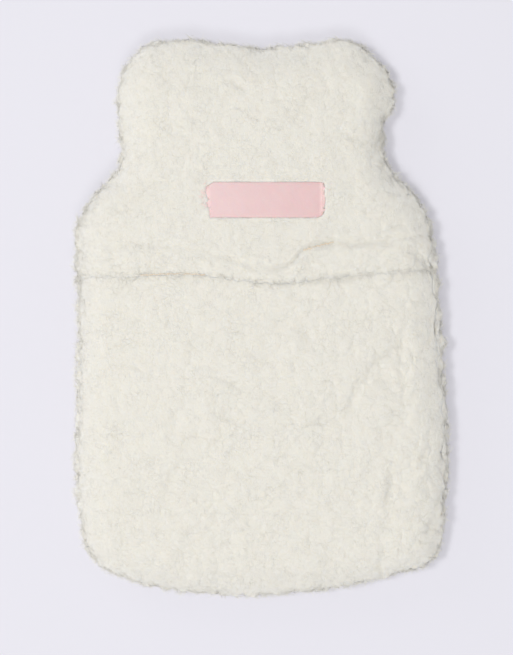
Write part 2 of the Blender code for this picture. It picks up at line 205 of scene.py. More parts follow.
# ---- troughs and dents that show in the fleece, each a long or round hollow ----
Dent = namedtuple("Dent", "place x y length width turn depth")
DENTS = (
    Dent("slanting crease, foot", 41.0, -63.5, 27.0, 5.0, 8.0, 1.5),
    Dent("slanting crease, middle", 57.5, -45.0, 30.0, 6.0, 62.0, 2.2),
    Dent("slanting crease, top", 73.0, -24.5, 27.0, 5.5, 36.0, 1.9),
    Dent("upright crease beside it", 84.5, -23.0, 28.0, 4.5, 88.0, 1.5),
    Dent("long crease beside the seam", 77.5, -105.0, 38.0, 6.0, 84.0, 2.2),
    Dent("short crease beside the seam", 99.0, -81.0, 17.0, 4.5, 70.0, 1.5),
    Dent("crease in the corner", 102.5, -126.0, 19.0, 4.5, 74.0, 1.8),
    Dent("nick in the foot", 72.0, -151.0, 12.0, 4.5, 90.0, 1.8),
    Dent("upper middle nick", -17.7, -41.5, 15.0, 5.5, -24.0, 2.6),
    Dent("lower middle nick", -19.5, -60.4, 17.0, 5.5, -20.0, 2.6),
    Dent("round dent", 26.5, -11.0, 16.0, 8.5, 100.0, 1.8),
    Dent("left crease", -52.5, -66.0, 21.0, 4.5, 70.0, 1.4),
    Dent("lower left crease", -54.0, -98.0, 24.0, 5.0, 62.0, 1.8),
    Dent("outer left crease", -86.5, -50.5, 17.0, 4.5, 84.0, 1.2),
    Dent("upper left crease", -77.5, -30.5, 15.0, 4.5, -22.0, 1.3),
    Dent("small left dent", -42.0, -15.0, 9.0, 4.5, 30.0, 1.2),
    Dent("low middle crease", 19.0, -91.5, 17.0, 4.5, -14.0, 1.0),
    Dent("foot crease", -27.0, -121.0, 13.0, 4.5, 80.0, 1.0),
    Dent("fold in the shoulder", 95.5, 35.5, 20.0, 6.0, -50.0, 2.6),
    Dent("nick above the hem", 80.0, 52.0, 12.0, 5.5, 20.0, 2.0),
    Dent("crease beside the ribbon", -64.0, 43.0, 34.0, 5.5, -8.0, 1.0),
    Dent("head crease", -13.4, 139.5, 13.0, 5.0, -32.0, 1.3),
    Dent("right head crease", 58.0, 107.0, 15.0, 4.5, -15.0, 1.4),
    Dent("crease above the ribbon", 5.0, 91.5, 14.0, 4.5, 20.0, 1.0),
    Dent("head dent", 30.0, 128.0, 40.0, 11.0, 20.0, 1.2),
    Dent("left head dent", -40.0, 141.0, 34.0, 11.0, -35.0, 1.2),
    Dent("neck hollow", 75.0, 113.0, 46.0, 13.0, 94.0, 1.6),
    Dent("upper neck crease", 71.0, 131.0, 14.0, 4.5, 62.0, 1.8),
    Dent("middle neck crease", 76.0, 117.0, 16.0, 4.5, 104.0, 2.2),
    Dent("lower neck crease", 70.0, 102.0, 16.0, 4.5, 60.0, 2.2),
    Dent("crease along the ribbon", 17.0, 82.8, 26.0, 3.6, 2.0, 1.7),
)

# ---- long lumps of the pile, as crossed waves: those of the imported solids, but lower,
# because the tufts stand on them here ----
Wave = namedtuple("Wave", "length direction phase height")
LUMPS = (
    Wave(31.0, 20.0, 0.3, 0.11),
    Wave(27.0, 103.0, 1.9, 0.11),
    Wave(23.0, 61.0, 4.1, 0.09),
    Wave(21.0, 148.0, 2.6, 0.09),
)

# ---- the pile: its noise and lumps, each as its size, how tall it is and its seed ----
Lump = namedtuple("Lump", "size tall seed")
FINE = (Lump(4.2, 0.11, 80), Lump(2.4, 0.05, 81))
ROLLS = Lump(7.5, 0.14, 85)
RIDGES = Lump(5.5, 0.22, 91)
SWELLS = Lump(15.0, 0.14, 88)
TUFT_HEIGHT = 0.85
CURL_HEIGHT = 0.22
PARTING_DEPTH = 0.6
CROOK_DEPTH = 0.30

# ---- the rim, where the cover turns down: its scallops, how far the pile is set back,
# how upright its start is, and how fast it fades where the cover faces down ----
RIM_TUFTS = Lump(6.4, 5.6, 97)
RIM_CURLS = Lump(3.3, 1.4, 107)
RIM_FINE = Lump(3.0, 0.8, 98)
RIM_ROLLS = Lump(9.0, 0.9, 99)
RIM_SET_BACK = 5.3
RIM_STEEP = 0.8
RIM_SHELTERED = 0.9

# ---- the side seam: how wide its valley is, and the pockets between the tufts there,
# which are nearly closed at the left and open from SEAM_OPENS_AT to the right ----
SEAM_REACH = 2.4
POCKET_SIZE = 7.0
SEAM_CLOSED = 0.25
SEAM_OPENS_AT = 30.0
SEAM_OPENS_OVER = 50.0

# ---- the wisps: each panel's share, how much thicker they grow round the rim and in the
# fringe along the hem's edge, and how far that drifts over the lower panel ----
Grown = namedtuple("Grown", "panel share")
GROWN = (Grown("upper_fleece", 1.7), Grown("lower_fleece", 1.15), Grown("base_fleece", 0.75))
RIM_WISPS = 22.0
FRINGE_WISPS = 14.0
FRINGE = 2.4
FRINGE_ROWS = 7.0
SWIRL_SIZE = 7.0
TUFT_PULL = 3.2
WISP_SUNK = 0.35
WISP_TAPER = (0.8, 1.0, 0.8, 0.25)

# ---- how far normals bend upwards where the pile stands steep, on wisps and panels ----
FIBRE_RAISED = 1.3
PANEL_RAISED = 1.2

# ---- how high above the surface the pile's lowest points are kept ----
LOWEST = 0.02

# ---- the ribbon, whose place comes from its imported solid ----
RIBBON_LOW, RIBBON_HIGH = (np.array(corner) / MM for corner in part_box("ribbon"))
RIBBON_MIDDLE = 0.5 * (RIBBON_LOW + RIBBON_HIGH)
RIBBON_SIZE = RIBBON_HIGH - RIBBON_LOW

# ---- its corner turned down, its end tucked in, its slant, and its bed in the pile ----
RIBBON_TURNED = -29.2
RIBBON_TUCKED = 33.0
RIBBON_SLANT = 3.4
RIBBON_GRID = (61, 181)
RIBBON_THICKNESS = 0.25
RIBBON_SUNK = 0.15
BED_DEPTH = 1.7
BED_SPARE = -0.2
BED_COVERED = 1.4
BED_MARGIN = 1.0
FRAYED = 90

# ---- the threads that show: along the hem, and across the ribbon's ends ----
HemThread = namedtuple("HemThread", "place first last first_rise last_rise")
HEM_THREADS = (
    HemThread("left", -72.0, -35.0, -0.4, -0.2),
    HemThread("right", 26.0, 42.0, 17.6, 20.0),
)
RibbonSewing = namedtuple("RibbonSewing", "place x slope")
RIBBON_SEWING = (RibbonSewing("left", -33.4, -0.16), RibbonSewing("right", 36.2, 0.0))
Stitch = namedtuple("Stitch", "spacing length slant thick bow")
HEM_STITCH = Stitch(2.6, 3.1, 0.16, 0.95, 0.1)
RIBBON_STITCH = Stitch(1.9, 1.7, 0.35, 0.4, 0.3)
STITCH_SUNK = 0.05

# ---- mesh spacing: the inner grids take every STEP-th row and column ----
STEP = 6
COLUMNS = 300
UPPER_ROWS = 192
BAND_ROWS = 48
LOWER_ROWS = 246
DIP_ROWS = 18
LAP_ROWS = 12
BASE_COLUMNS = 216
BASE_ROWS = 300
EDGE_CROWDING = 0.28

# ---- the photograph's frame, and the stage in metres ----
PICTURE = (513, 655)
MM_PER_PIXEL = 0.61
COVER_CENTRE_PIXEL = (262.0, 317.0)
CAMERA_DISTANCE = 1.6
LONG_SIDE_SENSOR = 36.0
FLOOR_HALF = 3.0
Lamp = namedtuple("Lamp", "setting place size")
LAMPS = (
    Lamp("key", (-0.84, 0.05, 3.0), 0.4),
    Lamp("overhead", (-0.1, -1.2, 3.15), 0.9),
    Lamp("side", (-1.3, 1.0, 0.9), 1.2),
)


# ---------------------------------------------------------------- settings


class CoverFleece(bpy.types.PropertyGroup):
    """The curly fleece."""

    tuft: bpy.props.FloatProperty(
        name="Tuft",
        description="Size of the pile's larger tufts",
        default=0.0092,
        unit="LENGTH",
    )
    curl: bpy.props.FloatProperty(
        name="Curl",
        description="Size of the curls in a tuft",
        default=0.0046,
        unit="LENGTH",
    )
    relief: bpy.props.FloatProperty(
        name="Relief",
        description="How strongly tufts and curls stand up",
        default=0.7,
        min=0.0,
    )
    seam_drop: bpy.props.FloatProperty(
        name="Seam drop",
        description="How far the pile falls away to a seam",
        default=0.0026,
        unit="LENGTH",
    )
    colour: bpy.props.FloatVectorProperty(
        name="Pile",
        description="Colour of the tips of the pile",
        default=(0.846, 0.823, 0.759),
        subtype="COLOR",
    )
    # painted shade: the colour towards which the pile is darkened where shade falls among its
    # tufts
    painted_shade_colour: bpy.props.FloatVectorProperty(
        name="Hollows",
        description="Colour between the tufts",
        default=(0.745, 0.720, 0.645),
        subtype="COLOR",
    )


class CoverWisps(bpy.types.PropertyGroup):
    """The loose fibres of the pile."""

    density: bpy.props.FloatProperty(
        name="Wisps",
        description="Wisps for each square centimetre of pile",
        default=31.0,
        min=0.0,
    )
    length: bpy.props.FloatProperty(
        name="Length",
        description="Length of a wisp",
        default=0.0042,
        unit="LENGTH",
    )
    width: bpy.props.FloatProperty(
        name="Width",
        description="Width of a wisp",
        default=0.00020,
        unit="LENGTH",
    )
    lift: bpy.props.FloatProperty(
        name="Lift",
        description="How far a wisp stands off the pile",
        default=0.0003,
        unit="LENGTH",
    )


class CoverRibbon(bpy.types.PropertyGroup):
    """The satin ribbon and the threads."""

    colour: bpy.props.FloatVectorProperty(
        name="Ribbon",
        description="Colour of the satin",
        default=(0.835, 0.595, 0.590),
        subtype="COLOR",
    )
    # painted sheen: the satin is blended from the colour above, at its paler left, to this one at
    # its right
    shade: bpy.props.FloatVectorProperty(
        name="Ribbon shade",
        description="Colour of the satin's right end",
        default=(0.785, 0.525, 0.520),
        subtype="COLOR",
    )
    thread: bpy.props.FloatVectorProperty(
        name="Ribbon thread",
        description="Colour of the thread at its ends",
        default=(0.93, 0.66, 0.64),
        subtype="COLOR",
    )
    frayed: bpy.props.FloatVectorProperty(
        name="Frayed ends",
        description="Colour of the ribbon's loose threads",
        default=(0.90, 0.69, 0.66),
        subtype="COLOR",
    )
    hem_thread: bpy.props.FloatVectorProperty(
        name="Hem thread",
        description="Colour of the hem's thread",
        default=(0.74, 0.63, 0.49),
        subtype="COLOR",
    )


class CoverStage(bpy.types.PropertyGroup):
    """The floor and the lights."""

    floor: bpy.props.FloatVectorProperty(
        name="Floor",
        description="Colour of the floor",
        default=(0.442, 0.435, 0.467),
        subtype="COLOR",
    )
    glow: bpy.props.FloatProperty(
        name="Glow",
        description="Light that the floor gives itself, as a lit table does",
        default=0.34,
        min=0.0,
    )
    key: bpy.props.FloatProperty(
        name="Key light",
        description="Power of the small soft light high above the left side",
        default=43.2,
        unit="POWER",
    )
    overhead: bpy.props.FloatProperty(
        name="Overhead light",
        description="Power of the broad light high above, beyond the foot",
        default=28.0,
        unit="POWER",
    )
    side: bpy.props.FloatProperty(
        name="Side light",
        description="Power of the weak low light beyond the upper left",
        default=3.4,
        unit="POWER",
    )
    sky: bpy.props.FloatProperty(
        name="Fill light",
        description="Strength of the light from all round",
        default=0.40,
        min=0.0,
    )


# ---------------------------------------------------------------- patterns in space


def smooth_step(t):
    """0 below 0, 1 above 1 and an even S between."""
    t = np.clip(t, 0.0, 1.0)
    return t * t * (3.0 - 2.0 * t)


def unit(vectors):
    """The vectors, each divided by its own length."""
    return vectors / np.linalg.norm(vectors, axis=-1, keepdims=True)


def lattice(cell, seed):
    """An even random number from 0 to 1 for each whole-number cell, mixed from its three
    numbers."""
    c = cell.astype(np.int64)
    mixed = c[..., 0] * 73856093 ^ c[..., 1] * 19349663 ^ c[..., 2] * 83492791 ^ seed * 668265263
    for shift, factor in ((13, 1274126177), (16, 974711), (15, 1540483477)):
        mixed = (mixed & 0xFFFFFFFF ^ (mixed & 0xFFFFFFFF) >> shift) * factor
    return (mixed >> 8 & 0xFFFFFF) / 0xFFFFFF


def soft_noise(points, size, seed):
    """Even noise from -1 to 1: random values on a lattice of this size, eased between."""
    at = points / size
    cell = np.floor(at)
    share = smooth_step(at - cell)
    total = np.zeros(points.shape[:-1])
    for corner in np.ndindex(2, 2, 2):
        near = np.where(np.array(corner), share, 1.0 - share).prod(axis=-1)
        total += near * lattice(cell + np.array(corner), seed)
    return 2.0 * total - 1.0


def rolling_noise(points, size, seed):
    """Noise of even hills and hollows, about -1 to 1: at each lattice point of this size
    a random slope, eased between them."""
    at = points / size
    cell = np.floor(at)
    off = at - cell
    share = off**3 * (off * (off * 6.0 - 15.0) + 10.0)
    total = np.zeros(points.shape[:-1])
    for corner in np.ndindex(2, 2, 2):
        near = np.where(np.array(corner), share, 1.0 - share).prod(axis=-1)
        slope = [lattice(cell + np.array(corner), seed + 7 * k) - 0.5 for k in range(3)]
        total += near * (np.stack(slope, axis=-1) * (off - np.array(corner))).sum(axis=-1)
    return 2.6 * total


def swayed(points, size, reach, seed):
    """The points moved about by soft noise, to make what is laid over them uneven."""
    sway = [soft_noise(points, size, seed + k) for k in range(3)]
    return points + reach * np.stack(sway, axis=-1)


def tufts(points, size, seed):
    """Lumps packed side by side, one round each of a cloud of centres, of which every
    cell of this size holds one: 1 less the square of the distance to the nearest centre,
    and how much further the second nearest is, which is 0 in the crease between two."""
    at = points / size
    cell = np.floor(at)
    first = np.full(points.shape[:-1], 9.0)
    second = first.copy()
    for step in np.ndindex(3, 3, 3):
        near = cell + np.array(step) - 1.0
        centre = near + np.stack([0.1 + 0.8 * lattice(near, seed + k) for k in range(3)], axis=-1)
        away = np.sqrt(((at - centre) ** 2).sum(axis=-1))
        second = np.minimum(second, np.maximum(first, away))
        first = np.minimum(first, away)
    return 1.0 - (first / 0.75) ** 2, (second - first) * size


# ---------------------------------------------------------------- the cover's skin


def closed_curve(points, per_span):
    """A Catmull-Rom curve round a closed loop of points, with per_span samples a span."""
    a, b, c, d = (np.roll(points, shift, axis=0)[:, None, :] for shift in (1, 0, -1, -2))
    t = (np.arange(per_span) / per_span)[None, :, None]
    bent = (2 * a - 5 * b + 4 * c - d) * t**2 + (3 * b - a - 3 * c + d) * t**3
    return (0.5 * (2 * b + (c - a) * t + bent)).reshape(-1, 2)


def outline_points():
    """The outline's stations, anticlockwise from the foot's left corner, and where the
    four corners stand among them."""
    left = np.array([(s.left_x, s.left_y) for s in SIDES])
    right = np.array([(s.right_x, s.right_y) for s in SIDES])
    share = np.array([e.share for e in ENDS])
    foot_x = left[0, 0] + (right[0, 0] - left[0, 0]) * share
    head_x = left[-1, 0] + (right[-1, 0] - left[-1, 0]) * share
    foot = np.stack([foot_x, [e.foot_y for e in ENDS]], axis=1)
    head = np.stack([head_x, [e.head_y for e in ENDS]], axis=1)
    points = np.concatenate([left[:1], foot, right, head[::-1], left[:0:-1]])
    foot_right = 1 + len(foot)
    head_right = foot_right + len(right) - 1
    return points, (0, foot_right, head_right, head_right + len(head) + 1)


SAMPLES = 36  # on the outline between two stations
STATIONS, CORNERS = outline_points()
OUTLINE = closed_curve(STATIONS, SAMPLES)
OUTLINE -= 0.5 * (OUTLINE.min(axis=0) + OUTLINE.max(axis=0))
ALONG = np.roll(OUTLINE, -1, axis=0) - np.roll(OUTLINE, 1, axis=0)
SPACING = 0.5 * np.linalg.norm(ALONG, axis=1)
INWARDS = np.stack([-ALONG[:, 1], ALONG[:, 0]], axis=1) / (2.0 * SPACING[:, None])


def edge_between(first, last):
    """The outline from one corner to the next, as a function of the share of its length."""
    count = (last - first) % len(STATIONS) * SAMPLES
    line = np.roll(OUTLINE, -first * SAMPLES, axis=0)[: count + 1]
    steps = np.linalg.norm(np.diff(line, axis=0), axis=1)
    share = np.concatenate([[0.0], np.cumsum(steps)]) / steps.sum()
    return lambda t: np.stack([np.interp(t, share, line[:, k]) for k in (0, 1)], axis=-1)


FOOT = edge_between(CORNERS[0], CORNERS[1])
RIGHT = edge_between(CORNERS[1], CORNERS[2])
HEAD = edge_between(CORNERS[2], CORNERS[3])
LEFT = edge_between(CORNERS[3], CORNERS[0])


def plan(u, v):
    """The place seen from above at share u across and v along: a Coons patch, which
    blends the four edges and takes their corners off once."""
    u, v = np.broadcast_arrays(u, v)
    a, b = u[..., None], v[..., None]
    ends = (1 - b) * FOOT(u) + b * HEAD(1.0 - u)
    sides = (1 - a) * LEFT(1.0 - v) + a * RIGHT(v)
    low = (1 - a) * FOOT(0.0) + a * FOOT(1.0)
    high = (1 - a) * HEAD(1.0) + a * HEAD(0.0)
    return ends + sides - (1 - b) * low - b * high


def share_at(u, y):
    """The share v along the cover at which column u reaches the height y of the plan."""
    fine = np.linspace(0.0, 1.0, 401)
    reached = plan(u[:, None], fine[None, :])[..., 1]
    return np.array([np.interp(yy, row, fine) for yy, row in zip(y, reached)])


def nearest_edge(place):
    """The nearest place on the outline, its inward direction and how far it is, for a
    row of places."""
    gaps = ((place[:, None, :] - OUTLINE[None, :, :]) ** 2).sum(axis=2)
    near = gaps.argmin(axis=1)
    along = np.stack([INWARDS[near, 1], -INWARDS[near, 0]], axis=1)
    slide = ((place - OUTLINE[near]) * along).sum(axis=1)
    beside = (near + np.sign(slide).astype(int)) % len(OUTLINE)
    share = np.clip(np.abs(slide) / SPACING[near], 0.0, 1.0)[:, None]
    inward = unit(INWARDS[near] * (1 - share) + INWARDS[beside] * share)
    foot = OUTLINE[near] + along * slide[:, None]
    return foot, inward, ((place - foot) * inward).sum(axis=1)


def smoothed(at, values, where):
    """Values given at some places, read elsewhere with the corners between rounded."""
    around = where[..., None] + np.linspace(-SOFTENING, SOFTENING, 9)
    return np.interp(around, at, values).mean(axis=-1)


def read_along(table, column, y):
    """A column of a table at this place along the cover."""
    return smoothed([row.y for row in table], [getattr(row, column) for row in table], y)


def seam_angle(foot):
    """How far above the widest place the seam runs at these places on the outline, in
    radians: the right side's angle, the left side's, and evenly between them. It wanders
    a little, because tufts push it about."""
    left, right = (read_along(SEAMS, side, foot[..., 1]) for side in ("left", "right"))
    share = np.clip(0.5 + 0.5 * foot[..., 0] / HALF_WIDTH, 0.0, 1.0)
    at = np.concatenate([foot, np.zeros_like(foot[..., :1])], axis=-1)
    wander = soft_noise(at, 9.0, 101) + 0.6 * soft_noise(at, 4.5, 102)
    return np.radians(left + (right - left) * share + SEAM_WANDER * wander)


def crown(u, v, y):
    """How high the smooth top stands: its height beside the edges, and fuller towards
    the middle of its width and length."""
    middle, beside = (read_along(HEIGHTS, column, y) for column in ("middle", "side"))
    across = 1.0 - np.abs(2.0 * u - 1.0) ** CROWN_ACROSS
    lengthways = 1.0 - np.abs(2.0 * v - 1.0) ** CROWN_ALONG
    return beside + (middle - beside) * across * lengthways


def skin(u, v, upper):
    """The cover's smooth outer face over share u across and v along, the way it faces
    and how far it is from the seam. Its side is a quarter ellipse from the widest place
    up to the crown, and another down to the surface; the plan's distance from the edge
    becomes the angle round them, from the seam's own angle to upright."""
    place = plan(u, v)
    rows = [nearest_edge(row) for row in place]
    foot, inward, away = (np.stack(part) for part in zip(*rows))
    side = read_along(HEIGHTS, "side", foot[..., 1]) - SIDE_HEIGHT
    seam = seam_angle(foot)
    half_gap = 0.5 * SEAM_GAP / np.where(seam > 0, TOP_ROLL, BASE_ROLL)
    roll, end, way = (TOP_ROLL, 0.5 * np.pi, 1.0) if upper else (BASE_ROLL, -0.5 * np.pi, -1.0)
    rolled = away < roll
    share = np.clip(away / roll, 0.0, 1.0)
    turned = seam + (end - seam) * share
    angle = turned + way * half_gap * (1.0 - share)
    inset = np.where(angle > 0, TOP_ROLL, BASE_ROLL) * (1.0 - np.cos(angle))
    rise = SIDE_HEIGHT + np.where(angle > 0, side, SIDE_HEIGHT) * np.sin(angle)
    flat = np.where(rolled[..., None], foot + inward * inset[..., None], place)
    if upper:
        inside = crown(u, v, flat[..., 1])
        blend = smooth_step(away / roll)
        rise = np.where(rolled, rise + (inside - side - SIDE_HEIGHT) * blend, inside)
    out = np.where(turned > 0, side, SIDE_HEIGHT) * np.cos(turned)
    up = np.where(turned > 0, TOP_ROLL, BASE_ROLL) * np.sin(turned)
    long = np.hypot(out, up)[..., None]
    facing = np.concatenate([-inward * out[..., None] / long, up[..., None] / long], axis=-1)
    straight = np.array([0.0, 0.0, 1.0 if upper else -1.0])
    facing = np.where(rolled[..., None], facing, straight)
    return np.concatenate([flat, rise[..., None]], axis=-1), facing, np.maximum(away, 0.0)


def crowded(count, power=2.0):
    """Even shares from 0 to 1, drawn a little towards both ends."""
    even = np.linspace(0.0, 1.0, count + 1)
    return even - EDGE_CROWDING * np.sin(power * np.pi * even) / (power * np.pi)


def hem_height(x):
    """Where the hem's edge runs in the plan: its table, with the corners rounded."""
    return smoothed([h.x for h in HEM_LINE], [h.y for h in HEM_LINE], x)


def hem_column(column, x):
    """A column of the hem's valley table at this place across the cover."""
    return np.interp(x, [v.x for v in HEM_VALLEY], [getattr(v, column) for v in HEM_VALLEY])


def hem_valley(points):
    """The soft valley where the pile of the two panels meets: a bell across the hem, as
    deep as its table says, and more or less so by soft noise."""
    x = points[..., 0]
    away = points[..., 1] - hem_height(x) + HEM_OVERHANG
    deep = hem_column("depth", x) * (1.0 + 0.45 * soft_noise(points, 8.0, 87))
    return deep * np.exp(-((away / HEM_VALLEY_REACH) ** 2))


# ---------------------------------------------------------------- the pile


def long_lumps(points):
    """The long lumps: crossed sine waves, each swaying a little across its own way."""
    x, y = points[..., 0], points[..., 1]
    total = np.zeros(x.shape)
    for wave in LUMPS:
        way = np.radians(wave.direction)
        reach = x * np.cos(way) + y * np.sin(way)
        sway = 0.9 * np.sin((y * np.cos(way) - x * np.sin(way)) / wave.length)
        total += wave.height * np.sin(2 * np.pi * reach / wave.length + wave.phase + sway)
    return total


def dents(points, spread=1.0):
    """The listed hollows: each a bell of its depth over its length and width,
    turned by its angle, on swayed places. Spread widens them across their length."""
    moved = swayed(points, 7.0, 1.6, 71)
    x, y = moved[..., 0], moved[..., 1]
    total = np.zeros(x.shape)
    for dent in DENTS:
        way = np.radians(dent.turn)
        dx, dy = x - dent.x, y - dent.y
        far = (dx * np.cos(way) + dy * np.sin(way)) / (0.5 * dent.length)
        near = (dy * np.cos(way) - dx * np.sin(way)) / (0.5 * dent.width * spread)
        total += dent.depth * np.exp(-(far**2) - near**2)
    return total


def opened(points, size, low, seed):
    """How far the creases between tufts are open here: low in most places, and up to 1
    in a few, by soft noise of this size."""
    return low + (1.0 - low) * smooth_step(0.25 + soft_noise(points, size, seed)) ** 2


def rolled(points, lump):
    """Rolling noise of a lump's size, height and seed."""
    return lump.tall * rolling_noise(points, lump.size, lump.seed)


def tufted(points, lump):
    """Packed lumps of a lump's size, height and seed."""
    return lump.tall * tufts(points, lump.size, lump.seed)[0]


def pile(points, rim, upward, fleece):
    """How far the pile stands off the smooth skin, and how much shade is painted into each
    place's colour: more in the creases, less on the lumps. On
    swayed places, it adds rolling noise of four sizes, lumps of two sizes, and the
    creases between the lumps, which fall off steeply to either side and are wide open
    only by the listed hollows and in a few other places. All of it is stronger
    towards the foot and the right, where the pile has clumped. Long swells are added
    evenly. Round the rim it is set back, and scallops of two sizes stand out from there
    again, by the share upward."""
    tuft, curl = fleece.tuft / MM, fleece.curl / MM
    clumped = 0.72 + 0.22 * smooth_step(0.5 + (points[..., 0] - 0.6 * points[..., 1]) / 200.0)
    clumped = clumped + 0.12 * soft_noise(points, 26.0, 77)
    moved = swayed(swayed(swayed(points, 12.0, 2.4, 1), 4.0, 1.1, 5), 1.6, 0.5, 15)
    hollowed = dents(points, spread=2.2)
    lump, beside_lump = tufts(moved, tuft, 50)
    ring, beside_ring = tufts(moved, curl, 60)
    parting = np.exp(-beside_lump / 1.1) * (opened(moved, 10.0, 0.25, 53) + 0.30 * hollowed)
    crook = np.exp(-beside_ring / 0.40) * (opened(moved, 6.0, 0.25, 63) + 0.20 * hollowed)
    fine = sum(rolled(moved, part) for part in FINE)
    ridges = RIDGES.tall * np.abs(rolling_noise(moved, RIDGES.size, RIDGES.seed))
    puffs = TUFT_HEIGHT * lump + CURL_HEIGHT * ring
    stand = fine + (rolled(moved, ROLLS) + ridges) + puffs
    stand = stand - PARTING_DEPTH * parting - CROOK_DEPTH * crook
    stand = stand * clumped * fleece.relief + rolled(points, SWELLS)
    scallops = tufted(moved, RIM_TUFTS) + tufted(moved, RIM_CURLS) + rolled(moved, RIM_FINE)
    stand = stand + rim * (scallops * upward + rolled(points, RIM_ROLLS) - RIM_SET_BACK)
    # painted shade: darker in the partings and crooks between the tufts, paler on the lumps' tops
    hollow = 0.42 + (0.26 * parting + 0.22 * crook - 0.12 * lump) * clumped
    return stand, np.clip(hollow, 0.0, 1.5)


def ribbon_edges(x):
    """The ribbon's lower and upper edge along it. Its upper left corner is turned down
    in a straight line, and its right corners are tucked under the pile along powers of
    the distance past RIBBON_TUCKED, the lower one further."""
    turned = np.clip((RIBBON_TURNED - x) / (RIBBON_TURNED - RIBBON_LOW[0]), 0.0, 1.0)
    tucked = np.clip((x - RIBBON_TUCKED) / (RIBBON_HIGH[0] - RIBBON_TUCKED), 0.0, 1.2)
    return RIBBON_LOW[1] + 0.3 + 4.2 * tucked**1.6, RIBBON_HIGH[1] - 4.2 * turned - 1.6 * tucked**3


def ribbon_left(rise):
    """Where the ribbon's slanted left end stands, this share of its width up."""
    return RIBBON_LOW[0] + RIBBON_SLANT * (1.0 - rise)


def bed(points):
    """How far the pile is pressed by the ribbon: 1 beneath it, and an even S down to 0
    within BED_MARGIN of its sides and of an uneven line just inside its ends, which the
    pile covers."""
    x, y = points[..., 0], points[..., 1]
    low, high = ribbon_edges(x)
    left = ribbon_left(np.clip((y - RIBBON_LOW[1]) / RIBBON_SIZE[1], 0.0, 1.0))
    uneven = BED_COVERED + 0.8 * soft_noise(points, 2.2, 94)
    ends = np.maximum(left - x, x - RIBBON_HIGH[0]) + uneven
    past = np.maximum(ends, np.maximum(low - y, y - high) - BED_SPARE)
    return smooth_step(1.0 - past / BED_MARGIN)


def furred(points, facing, away, fleece, shown=1.0):
    """The skin with its pile: the outer face and how much shade is painted into each place. The
    skin is moved along the way that it faces by the pile, the long lumps and less the dents. The
    rim is an S of how steep the skin is, and fades where it faces down, into shade. The
    pile fades where it isn't shown, and falls away to a seam in a rounded valley, with
    pockets by soft noise that open towards the right. Shade is painted into the dents and
    the seam's pockets, and light is painted on the rim, whose colour is made paler."""
    up = facing[..., 2]
    rim = smooth_step(1.0 - np.maximum(up, 0.0) / RIM_STEEP)
    rim = rim * np.clip(1.0 + RIM_SHELTERED * up, 0.0, 1.0)
    upward = 0.25 + 0.75 * smooth_step(0.5 + 1.2 * up)
    stand, hollow = pile(points, rim, upward, fleece)
    low = dents(points)
    near_seam = smooth_step(1.0 - away / SEAM_REACH)
    opening = smooth_step((points[..., 0] - SEAM_OPENS_AT) / SEAM_OPENS_OVER)
    pocket = 0.1 + smooth_step(1.9 * soft_noise(points, POCKET_SIZE, 103) - 0.1)
    pocket = pocket * (SEAM_CLOSED + (1.0 - SEAM_CLOSED) * opening)
    lift = (stand + long_lumps(points)) * (1.0 - 0.4 * near_seam) - 0.6 * low
    lift = lift * shown - fleece.seam_drop / MM * pocket * near_seam**1.5
    outer = points + facing * lift[..., None]
    outer[..., 2] = np.maximum(outer[..., 2], LOWEST)
    # painted shade, darker in the dents and the seam's pockets, and painted light, paler round the
    # rim
    return outer, hollow + 0.16 * low + 0.7 * pocket * near_seam - 0.35 * rim


# ---------------------------------------------------------------- meshes


def write_mesh(name, points, faces, finish, uv=None, hollow=None):
    """A mesh object from arrays: points in millimetres, lists of faces with one array
    for each count of corners, a place on the bake map for each point, and how much shade
    is painted into each point's colour."""
    corners = np.concatenate([f.ravel() for f in faces]).astype(np.int32)
    counts = np.concatenate([np.full(len(f), f.shape[1]) for f in faces])
    mesh = bpy.data.meshes.new(name)
    mesh.vertices.add(len(points))
    mesh.vertices.foreach_set("co", (points * MM).astype(np.float32).ravel())
    mesh.loops.add(len(corners))
    mesh.loops.foreach_set("vertex_index", corners)
    mesh.polygons.add(len(counts))
    starts = np.concatenate([[0], np.cumsum(counts)[:-1]]).astype(np.int32)
    mesh.polygons.foreach_set("loop_start", starts)
    mesh.update(calc_edges=True)
    mesh.validate()
    if uv is not None:
        layer = mesh.uv_layers.new(name="OFBake")
        layer.data.foreach_set("uv", uv[corners].astype(np.float32).ravel())
    # painted shade: stored on each point and read by the fleece's colour, which it darkens
    if hollow is not None:
        layer = mesh.attributes.new("hollow", "FLOAT", "POINT")
        layer.data.foreach_set("value", hollow.astype(np.float32).ravel())
    mesh.shade_smooth()
    mesh.materials.append(finish)
    piece = bpy.data.objects.new(name, mesh)
    bpy.context.scene.collection.objects.link(piece)
    return piece


def grid_quads(shape, first=0, turned=False):
    """The quads of a grid of points, numbered row by row from first."""
    number = first + np.arange(shape[0] * shape[1]).reshape(shape)
    quads = np.stack([number[:-1, :-1], number[:-1, 1:], number[1:, 1:], number[1:, :-1]], axis=-1)
    quads = quads.reshape(-1, 4)
    return quads[:, ::-1] if turned else quads


def grid_rim(shape, first=0):
    """The numbers of a grid's edge points, once round."""
    number = first + np.arange(shape[0] * shape[1]).reshape(shape)
    return np.concatenate([number[0, :-1], number[:-1, -1], number[-1, :0:-1], number[:0:-1, 0]])


def even_grid(shape, first, last):
    """Places (across, along) on the bake map, for a grid of points spread evenly from
    the share first to the share last across it."""
    rows, columns = np.meshgrid(
        np.linspace(0.01, 0.99, shape[0]), np.linspace(first, last, shape[1]), indexing="ij"
    )
    return np.stack([columns, rows], axis=-1).reshape(-1, 2)


